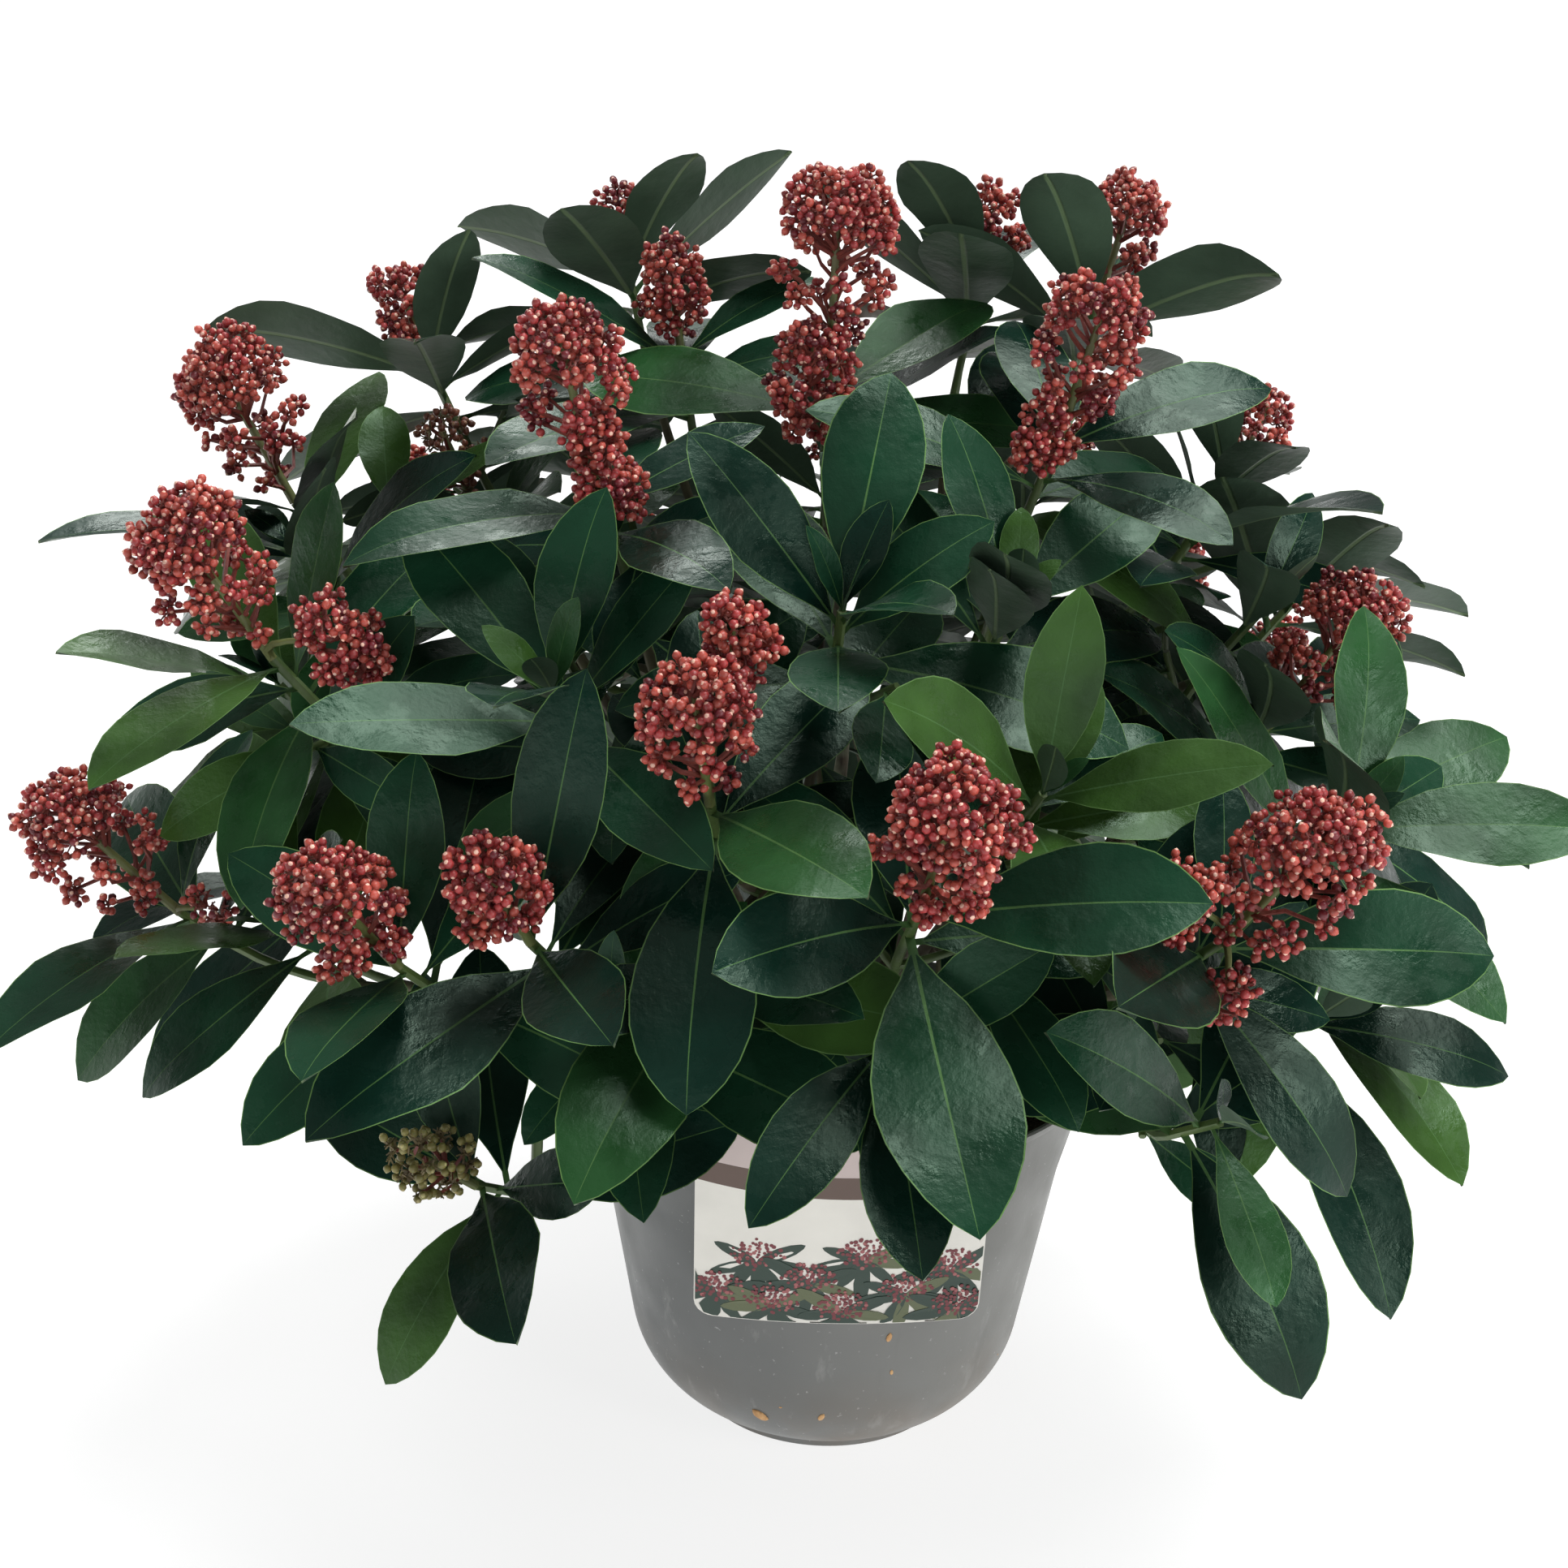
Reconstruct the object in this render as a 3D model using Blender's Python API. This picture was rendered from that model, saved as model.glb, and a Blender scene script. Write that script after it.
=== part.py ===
"""Potted skimmia: a rounded evergreen shrub in bud, standing in a round plastic pot.

Metres, +Z up. The origin is the centre of the pot's flat underside.
The viewer's side of the plant is -Y, where the pot's card hangs.
"""
import math
import random

import bmesh
import bpy
import numpy as np
from mathutils import Matrix, Vector
from mathutils.bvhtree import BVHTree

# Clear gap between pieces that touch
GAP = 0.0003

# Pot
POT_HEIGHT = 0.168
POT_LIP_RADIUS = 0.116
POT_CREASE_HEIGHT = 0.123
POT_CREASE_RADIUS = 0.1035
POT_BASE_RADIUS = 0.082        # where the side would meet the ground without its rounding
POT_ROUNDING = 0.050
POT_FOOT_RADIUS = 0.060
POT_FOOT_HEIGHT = 0.0042
POT_WALL = 0.0020
POT_LIP_BAND = 0.0040
POT_LIP_PROUD = 0.0010
POT_SEGMENTS = 32
ROUNDING_STEPS = 4

# Compost
COMPOST_LEVEL = 0.150
COMPOST_FLAT = 0.030           # even round the trunk
COMPOST_RINGS = (0.088, 0.060)
COMPOST_ROUGHNESS = 0.0020

# Card that hangs on the pot's rim
CARD_AZIMUTH = -88.5
CARD_LOW = 0.086
CARD_HIGH = 0.206
CARD_HALF_WIDTH = 0.0595
CARD_BOW = 0.270               # radius that the card is bent to
CARD_THICKNESS = 0.0009
CARD_CORNER = 0.008
CARD_COLUMNS = 12
HOOK_HALF_WIDTH = 0.010
HOOK_COLUMNS = 4
HOOK_DEPTH = 0.010

# Trunk
TRUNK_FOOT_RADIUS = 0.0165
TRUNK_RADIUS = 0.0115
TRUNK_TIP_RADIUS = 0.0085
TRUNK_HEIGHT = 0.062
TRUNK_LEVELS = (0.0, 0.005, 0.014, 0.030, 0.046)
TRUNK_LEAN = math.radians(4.0)
TRUNK_LEAN_AZIMUTH = math.radians(200.0)
TRUNK_SIDES = 10

# Boughs
BOUGH_FOOT_RADIUS = 0.0044
BOUGH_TIP_RADIUS = 0.0031
BOUGH_SIDES = 5
BOUGH_STEPS = 5
BOUGH_REACH = 0.50             # share of the way from the trunk to the middle of its shoots
BOUGH_RISE = 0.45              # how steeply it leaves the trunk
BOUGH_LIFT = 0.25              # how much it turns up towards its tip
BOUGH_SWAY = 0.004             # added at each try to pass its neighbours
BOUGH_TRIES = 12
BOUGH_ROOT_LOW = 0.012         # height on the trunk of a bough to shoots at SHOOTS_LOW
BOUGH_ROOT_RISE = 0.16         # growth of that height with the height of the shoots
SHOOTS_LOW = 0.20
ROOTS_FROM, ROOTS_TO = 0.008, 0.056
ROOTS_APART = 2.25             # in radii of a bough's foot

# Twigs
TWIG_FOOT_RADIUS = 0.0033
TWIG_TIP_RADIUS = 0.0024
TWIG_SIDES = 3
TWIG_STEPS = 3
TWIG_SWAY = 0.12               # added at each try to pass its neighbours
TWIG_TRIES = 14
BRANCH_FROM, BRANCH_SPAN = 0.25, 0.40   # where side twigs leave their stem, as shares of it
BRANCH_THIN = 0.9
SHOOT_OUTWARD = 0.65           # share of outward growth in a shoot's direction, the rest is upward

# Leaves
LEAF_LENGTH = 0.102
LEAF_WIDTH = 0.375             # share of the length
LEAF_THICKNESS = 0.0022
LEAF_STALK = 0.014             # length beside the twig where the leaves of a whorl may cross
LEAF_SUNK = 0.0012             # how far the root lies past the twig's middle
LEAF_FOLD = 0.16               # rise of the margins, as a share of the half width
LEAF_CLEAR = 0.0007            # room kept round each leaf
LEAF_LIFT = 0.24               # how far leaves rise towards the light
LEAF_SHOULDERS = (0.34, 0.70)  # places along the leaf where it is widest
LEAF_SHOULDER = 0.49           # half width there
LEAF_THICKEST = 0.46
LEAF_CURL = (8, 36)            # degrees that a leaf droops from its root to its tip
LEAF_LOWEST, LEAF_HIGHEST = 0.008, 0.562
CARD_SHOWN_HALF, CARD_SHOWN_LOW = 0.105, 0.200    # before the card, leaves end above this height,
HANGING_HALF, HANGING_LOW = 0.020, 0.125          # or at its middle above this one
LEAF_TAPER = (1.06, 0.90)      # length of a whorl's lowest and highest leaf
LEAF_UNEVEN = 0.15
LEAF_UNEVEN_WIDTH = 0.14
FLOWER_RISE = (-4, 36)         # degrees across a flowering shoot, from a whorl's lowest leaf to its highest
LEAFY_RISE = (2, 50)           # the same on a leafy shoot
LEAVES_IN_WHORL = (6, 7, 7)
LEAF_TRIES = 8
LEAF_LOOSE, LEAF_LOOSER = 0.25, 0.16    # turn in radians that a leaf may take, and its growth at each try
LEAF_SHRINK = 0.04             # at each try
LEAF_TO_LIGHT = 1.3            # how far a leaf's face turns to the light, beside its shoot's direction
LIGHT = Vector((-0.05, -0.75, 0.66))
FAR_SIDE = 0.06                # behind this, the light comes from the back
WHORL_SPAN = 0.024
WHORL_SPIN = 0.4
HUB_BELOW = 0.055              # a bough aims at a point this far below its shoots

# Flower heads
FLOWER_TALL = 1.15             # height as a share of the width
FLOWER_SIDES = 6
FLOWER_LEVELS = (-0.62, 0.05, 0.68)
FLOWER_LUMPS = (0.96, 1.16)
FLOWER_POINTED = 0.25
FLOWER_LIFT = 0.25             # how much it stands up from its shoot
FLOWER_TRIES = 5
FLOWER_SHRINK = 0.08           # at each try
FLOWER_STALK = 0.010           # bare stalk between the leaves and the head

GOLDEN_ANGLE = math.radians(137.5)

# Crown, as the oval that the shoot ends stand on
CROWN_CENTRE = Vector((-0.020, 0.0, 0.190))
CROWN_RADIUS = 0.245
CROWN_HEIGHT = 0.300
SEED = 41

# Shoots by mass: azimuth in degrees, reach from the axis and height of the flower head's middle or,
# on a leafy shoot, of its end, the width of the flower head (0 for none), and the length of small leaves
SHOOTS = {
    "top": [(-118, 0.023, 0.515, 0.061), (100, 0.055, 0.458, 0), (15, 0.050, 0.444, 0)],
    "top_left": [(153, 0.088, 0.497, 0.037), (134, 0.153, 0.522, 0.029)],
    "top_right": [(35, 0.140, 0.520, 0.050), (59, 0.117, 0.523, 0.034)],
    "left_shoulder": [(-140, 0.141, 0.471, 0.052), (-172, 0.136, 0.387, 0.029), (-130, 0.171, 0.362, 0)],
    "right_shoulder": [(-35, 0.105, 0.485, 0.051), (-57, 0.107, 0.388, 0), (5, 0.148, 0.405, 0)],
    "left_back": [(158, 0.214, 0.483, 0.036), (164, 0.182, 0.423, 0.040), (148, 0.245, 0.390, 0.045)],
    "right_back": [(24, 0.200, 0.439, 0.036), (18, 0.215, 0.365, 0), (30, 0.240, 0.320, 0.045)],
    "left": [(176, 0.258, 0.442, 0.059), (-158, 0.262, 0.398, 0.058), (-178, 0.240, 0.330, 0),
             (179, 0.235, 0.388, 0)],
    "left_low": [(-165, 0.308, 0.283, 0.060), (178, 0.240, 0.240, 0), (-158, 0.240, 0.252, 0)],
    "front_left": [(-133, 0.259, 0.299, 0.049), (-123, 0.227, 0.308, 0.042), (-132, 0.228, 0.193, 0.035),
                   (-122, 0.170, 0.238, 0, 0.050)],
    "front_centre": [(-106, 0.198, 0.367, 0.050), (-93, 0.112, 0.391, 0), (-107, 0.180, 0.275, 0),
                     (-116, 0.195, 0.258, 0)],
    "front": [(-83, 0.222, 0.340, 0.058), (-86, 0.203, 0.262, 0), (-66, 0.165, 0.335, 0),
              (-70, 0.150, 0.252, 0.024, 0.060)],
    "front_right": [(-52, 0.242, 0.322, 0.060), (-53, 0.224, 0.222, 0), (-28, 0.215, 0.310, 0),
                    (-32, 0.215, 0.235, 0)],
    "right": [(-9, 0.200, 0.365, 0.057), (-7, 0.168, 0.374, 0), (3, 0.225, 0.285, 0),
              (-10, 0.215, 0.225, 0)],
}
# Smaller heads beside a shoot's main one: mass, azimuth, reach, height and width
SIDE_HEADS = [("left", -150, 0.221, 0.376, 0.036), ("front_right", -61, 0.226, 0.315, 0.029),
              ("front_centre", -105, 0.166, 0.394, 0.032), ("top", -119, 0.040, 0.468, 0.040),
              ("left_shoulder", -136, 0.132, 0.437, 0.032), ("right_shoulder", -43, 0.095, 0.453, 0.026)]
# Shoots on the side away from the viewer follow a rule: rows of evenly spaced shoots
BACK_MASSES = ("back_right", "back", "back_left")
BACK_AZIMUTHS = (59.0, 92.0, 125.0)
BACK_ROWS = [(0.225, 0.235, -11.0, 0), (0.255, 0.255, 8.0, 0.050), (0.345, 0.258, -9.0, 0.056),
             (0.330, 0.205, 9.0, 0), (0.430, 0.205, 0.0, 0.052)]   # height, reach, turn, flower head

COLOURS = {
    "pot": ((0.165, 0.175, 0.180), 0.45),
    "compost": ((0.045, 0.030, 0.020), 0.95),
    "card": ((0.780, 0.760, 0.720), 0.35),
    "bark": ((0.150, 0.160, 0.075), 0.80),
    "leaf": ((0.020, 0.075, 0.035), 0.30),
}


def clear_scene():
    for item in list(bpy.data.objects):
        bpy.data.objects.remove(item, do_unlink=True)


def material(kind):
    name = kind + "_finish"
    if name in bpy.data.materials:
        return bpy.data.materials[name]
    colour, roughness = COLOURS[kind]
    made = bpy.data.materials.new(name)
    made.use_nodes = True
    shader = made.node_tree.nodes["Principled BSDF"]
    shader.inputs["Base Color"].default_value = (*colour, 1.0)
    shader.inputs["Roughness"].default_value = roughness
    shader.inputs["Metallic"].default_value = 0.0
    return made


def add_object(name, verts, faces, kind, smooth_angle=None):
    mesh = bpy.data.meshes.new(name)
    mesh.from_pydata([tuple(v) for v in verts], [], faces)
    mesh.materials.append(material(kind))
    item = bpy.data.objects.new(name, mesh)
    bpy.context.scene.collection.objects.link(item)
    if smooth_angle:
        mesh.shade_smooth()
        mesh.set_sharp_from_angle(angle=math.radians(smooth_angle))
    return item


def spun(name, profile, kind, segments, shape=None):
    """Turn a closed profile of (radius, height) points, which starts and ends on the axis."""
    bm = bmesh.new()
    points = [bm.verts.new((radius, 0.0, height)) for radius, height in profile]
    edges = [bm.edges.new(pair) for pair in zip(points[:-1], points[1:])]
    bmesh.ops.spin(bm, geom=points + edges, cent=(0, 0, 0), axis=(0, 0, 1), angle=math.tau,
                   steps=segments, use_merge=True)
    bmesh.ops.remove_doubles(bm, verts=bm.verts, dist=1e-6)
    if shape:
        shape(bm)
    bmesh.ops.recalc_face_normals(bm, faces=bm.faces)
    mesh = bpy.data.meshes.new(name)
    bm.to_mesh(mesh)
    bm.free()
    mesh.materials.append(material(kind))
    mesh.shade_smooth()
    mesh.set_sharp_from_angle(angle=math.radians(35))
    item = bpy.data.objects.new(name, mesh)
    bpy.context.scene.collection.objects.link(item)
    return item


def pot_side(height):
    """Outer radius of the pot at a height above its rounding."""
    if height <= POT_CREASE_HEIGHT:
        share = height / POT_CREASE_HEIGHT
        return POT_BASE_RADIUS + (POT_CREASE_RADIUS - POT_BASE_RADIUS) * share
    share = (height - POT_CREASE_HEIGHT) / (POT_HEIGHT - POT_CREASE_HEIGHT)
    return POT_CREASE_RADIUS + (POT_LIP_RADIUS - POT_LIP_PROUD - POT_CREASE_RADIUS) * share


def pot_rounding(inset, steps):
    """Points of the curve from the pot's floor up to its side, moved in by the inset."""
    slope = math.atan((POT_CREASE_RADIUS - POT_BASE_RADIUS) / POT_CREASE_HEIGHT)
    centre = POT_BASE_RADIUS - POT_ROUNDING * (1 - math.sin(slope)) / math.cos(slope)
    radius = POT_ROUNDING - inset
    start = math.asin((POT_FOOT_RADIUS - centre) / POT_ROUNDING) if inset == 0 else 0.0
    end = math.pi / 2 - slope
    angles = [start + (end - start) * step / steps for step in range(steps + 1)]
    return [(centre + radius * math.sin(a), POT_ROUNDING - radius * math.cos(a)) for a in angles]


def make_pot():
    band_foot = POT_HEIGHT - POT_LIP_BAND
    outer = [(0.0, 0.0), (POT_FOOT_RADIUS, 0.0)] + pot_rounding(0.0, ROUNDING_STEPS)
    outer += [(POT_CREASE_RADIUS, POT_CREASE_HEIGHT), (pot_side(band_foot), band_foot)]
    outer += [(pot_side(band_foot) + POT_LIP_PROUD, band_foot + POT_LIP_PROUD)]
    outer += [(POT_LIP_RADIUS, POT_HEIGHT)]
    inner = [(POT_LIP_RADIUS - POT_WALL - POT_LIP_PROUD, POT_HEIGHT)]
    inner += [(POT_CREASE_RADIUS - POT_WALL, POT_CREASE_HEIGHT)]
    inner += list(reversed(pot_rounding(POT_WALL, ROUNDING_STEPS)))
    inner += [(0.0, inner[-1][1])]
    spun("pot", outer + inner, "pot", POT_SEGMENTS)


def make_compost():
    """The root ball fills the pot to a little below its rim, with a slightly uneven top."""
    inset = POT_WALL + GAP
    side = [(POT_CREASE_RADIUS - inset, POT_CREASE_HEIGHT)]
    side += [(pot_side(COMPOST_LEVEL) - inset, COMPOST_LEVEL)]
    curve = pot_rounding(inset, ROUNDING_STEPS)
    profile = [(0.0, curve[0][1])] + curve + side
    top = [(radius, COMPOST_LEVEL) for radius in (*COMPOST_RINGS, COMPOST_FLAT, 0.0)]
    draw = random.Random(SEED)

    def roughen(bm):
        for vert in sorted(bm.verts, key=lambda v: (round(v.co.z, 5), math.atan2(v.co.y, v.co.x))):
            reach = vert.co.xy.length
            on_top = abs(vert.co.z - COMPOST_LEVEL) < 1e-5
            if on_top and any(abs(reach - ring) < 0.005 for ring in COMPOST_RINGS):
                vert.co.z += draw.uniform(-1, 1) * COMPOST_ROUGHNESS

    spun("compost", profile + top, "compost", POT_SEGMENTS, roughen)


def card_distance(height):
    """Back of the card on its middle line: it leans on the lip and, low down, on the pot's side."""
    low = pot_side(CARD_LOW) + GAP
    high = POT_LIP_RADIUS + GAP
    return low + (high - low) * (height - CARD_LOW) / (POT_HEIGHT - CARD_LOW)


def bowed_sheet(rows, thickness, columns, bow):
    """Closed sheet that faces the viewer. Each row is (distance, height, half width)."""
    outward = Vector((math.cos(math.radians(CARD_AZIMUTH)), math.sin(math.radians(CARD_AZIMUTH)), 0))
    across = Vector((-outward.y, outward.x, 0))
    verts = []
    for layer in (0.0, thickness):
        for distance, height, half in rows:
            for column in range(columns + 1):
                aside = half * (2 * column / columns - 1)
                back = bow - math.sqrt(bow * bow - aside * aside)
                verts.append(outward * (distance + layer - back) + across * aside + Vector((0, 0, height)))
    wide = columns + 1
    count = wide * len(rows)
    faces = []
    for row in range(len(rows) - 1):
        for column in range(columns):
            a = row * wide + column
            faces.append((a, a + wide, a + wide + 1, a + 1))
            faces.append((a + count, a + count + 1, a + count + wide + 1, a + count + wide))
    rim = list(range(wide)) + [row * wide + columns for row in range(1, len(rows))]
    rim += [(len(rows) - 1) * wide + c for c in range(columns - 1, -1, -1)]
    rim += [row * wide for row in range(len(rows) - 2, 0, -1)]
    for a, b in zip(rim, rim[1:] + rim[:1]):
        faces.append((a, b, b + count, a + count))
    return verts, faces


def make_card():
    """A plastic card with rounded corners and a hook that goes over the pot's lip."""
    steps = [math.radians(angle) for angle in (0, 30, 60, 90)]
    lifts = [CARD_CORNER * (1 - math.cos(a)) for a in steps]
    insets = [CARD_CORNER * (1 - math.sin(a)) for a in steps]
    heights = [CARD_LOW + lift for lift in lifts] + [POT_HEIGHT]
    heights += [CARD_HIGH - lift for lift in reversed(lifts)]
    rows = [(card_distance(height), height, CARD_HALF_WIDTH - inset)
            for height, inset in zip(heights, insets + [0.0] + insets[::-1])]
    verts, faces = bowed_sheet(rows, CARD_THICKNESS, CARD_COLUMNS, CARD_BOW)
    card = add_object("label_card", verts, faces, "card")
    facet = math.cos(math.pi / POT_SEGMENTS)
    inside = (POT_LIP_RADIUS - POT_WALL - POT_LIP_PROUD) * facet - GAP - CARD_THICKNESS
    hook_top = POT_HEIGHT + GAP
    bridge = [(inside, hook_top, HOOK_HALF_WIDTH), (inside, hook_top + CARD_THICKNESS, HOOK_HALF_WIDTH)]
    depth = card_distance(hook_top) - inside + 0.5 * CARD_THICKNESS
    over = add_object("hook_bridge", *bowed_sheet(bridge, depth, HOOK_COLUMNS, inside), "card")
    slope = (POT_LIP_RADIUS - POT_CREASE_RADIUS) / (POT_HEIGHT - POT_CREASE_HEIGHT)
    tongue = [(inside - slope * HOOK_DEPTH, POT_HEIGHT - HOOK_DEPTH, HOOK_HALF_WIDTH),
              (inside, hook_top + 0.5 * CARD_THICKNESS, HOOK_HALF_WIDTH)]
    down = add_object("hook_tongue", *bowed_sheet(tongue, CARD_THICKNESS, HOOK_COLUMNS, inside), "card")
    fuse(card, [over, down])


def fix_normals(item):
    bm = bmesh.new()
    bm.from_mesh(item.data)
    bmesh.ops.recalc_face_normals(bm, faces=bm.faces)
    bm.to_mesh(item.data)
    bm.free()


def is_closed(mesh):
    uses = np.zeros(len(mesh.edges), dtype=int)
    loops = np.empty(len(mesh.loops), dtype=int)
    mesh.loops.foreach_get("edge_index", loops)
    np.add.at(uses, loops, 1)
    return bool((uses == 2).all())


def keep_outer_body(item):
    """Keep the largest closed shell: this drops loose scraps and fills sealed hollows."""
    bm = bmesh.new()
    bm.from_mesh(item.data)
    bmesh.ops.triangulate(bm, faces=bm.faces)
    bm.verts.ensure_lookup_table()
    left = set(bm.verts)
    shells = []
    while left:
        shell = {left.pop()}
        edge = list(shell)
        while edge:
            vert = edge.pop()
            for link in vert.link_edges:
                other = link.other_vert(vert)
                if other not in shell:
                    shell.add(other)
                    edge.append(other)
        left -= shell
        shells.append(shell)
    main = max(shells, key=len)
    bmesh.ops.delete(bm, geom=[v for v in bm.verts if v not in main], context="VERTS")
    bm.to_mesh(item.data)
    bm.free()


def fuse(base, others):
    """Join the others to the base by one Boolean union, and remove them."""
    group = bpy.data.collections.new(base.name + "_parts")
    bpy.context.scene.collection.children.link(group)
    for piece in [base] + others:
        fix_normals(piece)
    for other in others:
        bpy.context.scene.collection.objects.unlink(other)
        group.objects.link(other)
    before = base.data
    for solver in ("EXACT", "MANIFOLD"):
        join = base.modifiers.new("join", "BOOLEAN")
        join.operation = "UNION"
        join.operand_type = "COLLECTION"
        join.collection = group
        join.solver = solver
        seen = bpy.context.evaluated_depsgraph_get()
        result = bpy.data.meshes.new_from_object(base.evaluated_get(seen), depsgraph=seen)
        base.modifiers.remove(join)
        base.data = result
        keep_outer_body(base)
        if is_closed(base.data):
            break
        base.data = before
    base.data.name = base.name
    for other in others:
        bpy.data.objects.remove(other, do_unlink=True)
    bpy.data.collections.remove(group)


def tube(points, radii, sides, first_plane=None, turn=0.0):
    """Tapering limb along the points. The first end may be cut along a given plane."""
    verts, faces = [], []
    side = None
    for index, point in enumerate(points):
        ahead = points[min(index + 1, len(points) - 1)]
        behind = points[max(index - 1, 0)]
        along = (ahead - behind).normalized()
        if side is None:
            side = along.orthogonal().normalized()
        side = (side - along * side.dot(along)).normalized()
        up = along.cross(side)
        for corner in range(sides):
            angle = turn + math.tau * corner / sides
            spoke = (side * math.cos(angle) + up * math.sin(angle)) * radii[index]
            if index == 0 and first_plane is not None:
                spoke -= along * (spoke.dot(first_plane) / along.dot(first_plane))
            verts.append(point + spoke)
    last = (len(points) - 1) * sides
    for ring in range(len(points) - 1):
        for corner in range(sides):
            a = ring * sides + corner
            b = ring * sides + (corner + 1) % sides
            faces.append((a, b, b + sides, a + sides))
    faces.append(tuple(reversed(range(sides))))
    faces.append(tuple(range(last, last + sides)))
    return verts, faces


def bend(start, leave, end, arrive, steps):
    """Smooth curve from start to end, which leaves and arrives along the given directions."""
    reach = (end - start).length / 3
    first = start + leave * reach
    second = end - arrive * reach
    points = []
    for step in range(steps + 1):
        t = step / steps
        points.append(start * (1 - t) ** 3 + first * (3 * t * (1 - t) ** 2)
                      + second * (3 * t * t * (1 - t)) + end * t ** 3)
    return points


def taper(first, last, count):
    return [first + (last - first) * index / (count - 1) for index in range(count)]


class Space:
    """What has been placed so far, for keeping new pieces clear of it."""

    def __init__(self):
        self.low = []
        self.high = []
        self.trees = []
        self.owners = []

    def add(self, verts, faces, owner):
        cloud = np.array([tuple(v) for v in verts])
        self.low.append(cloud.min(axis=0))
        self.high.append(cloud.max(axis=0))
        self.trees.append(BVHTree.FromPolygons([tuple(v) for v in verts], faces))
        self.owners.append(owner)

    def touched(self, verts, faces, skip=()):
        """Owners of the placed pieces that a new piece would touch."""
        if not self.trees:
            return set()
        cloud = np.array([tuple(v) for v in verts])
        low, high = cloud.min(axis=0), cloud.max(axis=0)
        near = np.all(np.array(self.low) <= high, axis=1) & np.all(np.array(self.high) >= low, axis=1)
        tree = None
        found = set()
        for index in np.flatnonzero(near):
            owner = self.owners[index]
            if owner in skip or owner in found:
                continue
            tree = tree or BVHTree.FromPolygons([tuple(v) for v in verts], faces)
            if tree.overlap(self.trees[index]):
                found.add(owner)
        return found


def polar(azimuth, reach, height):
    angle = math.radians(azimuth)
    return Vector((reach * math.cos(angle), reach * math.sin(angle), height))


def shoot_axis(place):
    """A shoot points out from the crown's oval and bends up to the light."""
    off = place - CROWN_CENTRE
    wide, tall = CROWN_RADIUS ** 2, CROWN_HEIGHT ** 2
    outward = Vector((off.x / wide, off.y / wide, off.z / tall)).normalized()
    return (SHOOT_OUTWARD * outward + Vector((0, 0, 1 - SHOOT_OUTWARD))).normalized()


def all_shoots():
    """Every mass with its shoots, those on the far side by rows."""
    masses = {name: list(rows) for name, rows in SHOOTS.items()}
    for name, azimuth in zip(BACK_MASSES, BACK_AZIMUTHS):
        masses[name] = [(azimuth + turn, reach, height, flower)
                        for height, reach, turn, flower in BACK_ROWS]
    return masses


def make_trunk(space):
    foot = Vector((0, 0, COMPOST_LEVEL + GAP))
    lean = Vector((math.cos(TRUNK_LEAN_AZIMUTH), math.sin(TRUNK_LEAN_AZIMUTH), 0)) * math.tan(TRUNK_LEAN)
    heights = [*TRUNK_LEVELS, TRUNK_HEIGHT]
    widths = [TRUNK_FOOT_RADIUS, 0.5 * (TRUNK_FOOT_RADIUS + TRUNK_RADIUS), TRUNK_RADIUS,
              0.96 * TRUNK_RADIUS, 0.5 * (TRUNK_RADIUS + TRUNK_TIP_RADIUS), TRUNK_TIP_RADIUS]
    points = [foot + Vector((0, 0, h)) + lean * h for h in heights]
    verts, faces = [], []
    for point, width in zip(points, widths):
        for corner in range(TRUNK_SIDES):
            angle = math.tau * corner / TRUNK_SIDES
            verts.append(point + Vector((math.cos(angle), math.sin(angle), 0)) * width)
    for ring in range(len(points) - 1):
        for corner in range(TRUNK_SIDES):
            a = ring * TRUNK_SIDES + corner
            b = ring * TRUNK_SIDES + (corner + 1) % TRUNK_SIDES
            faces.append((a, b, b + TRUNK_SIDES, a + TRUNK_SIDES))
    faces.append(tuple(reversed(range(TRUNK_SIDES))))
    last = (len(points) - 1) * TRUNK_SIDES
    faces.append(tuple(range(last, last + TRUNK_SIDES)))
    add_object("trunk", verts, faces, "bark", 40)
    space.add(verts, faces, "trunk")
    return points, widths


def trunk_at(points, widths, height):
    """Centre and radius of the trunk at a height above the compost."""
    for (low, wide), (high, thin) in zip(zip(points, widths), zip(points[1:], widths[1:])):
        if height <= high.z - points[0].z:
            share = (height - (low.z - points[0].z)) / (high.z - low.z)
            return low.lerp(high, share), wide + (thin - wide) * share
    return points[-1], widths[-1]


def bough_starts(masses, points, widths):
    """Places on the trunk where the boughs leave it, low masses lowest, each clear of the others."""
    taken = []
    starts = {}
    order = sorted((name for name in masses if name != "top"), key=lambda n: masses[n]["hub"].z)
    for name in order:
        hub = masses[name]["hub"]
        outward = Vector((hub.x, hub.y, 0)).normalized()
        angle = math.atan2(outward.y, outward.x)
        facet = math.tau / TRUNK_SIDES
        support = max(math.cos(angle - facet * corner) for corner in range(TRUNK_SIDES))
        wanted = BOUGH_ROOT_LOW + BOUGH_ROOT_RISE * (hub.z - SHOOTS_LOW)
        for nudge in sorted(np.arange(-0.040, 0.041, 0.002), key=abs):
            height = wanted + nudge
            if not ROOTS_FROM <= height <= ROOTS_TO:
                continue
            spread = BOUGH_FOOT_RADIUS * 1.25
            reach = 0.0
            for step in (-spread, 0.0, spread):
                centre, width = trunk_at(points, widths, height + step)
                reach = max(reach, centre.dot(outward) + width * support)
            centre, _ = trunk_at(points, widths, height)
            across = Vector((-outward.y, outward.x, 0))
            place = outward * (reach + GAP) + across * centre.dot(across) + Vector((0, 0, centre.z))
            if all((place - other).length > ROOTS_APART * BOUGH_FOOT_RADIUS for other in taken):
                taken.append(place)
                starts[name] = (place, outward)
                break
    return starts


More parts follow.
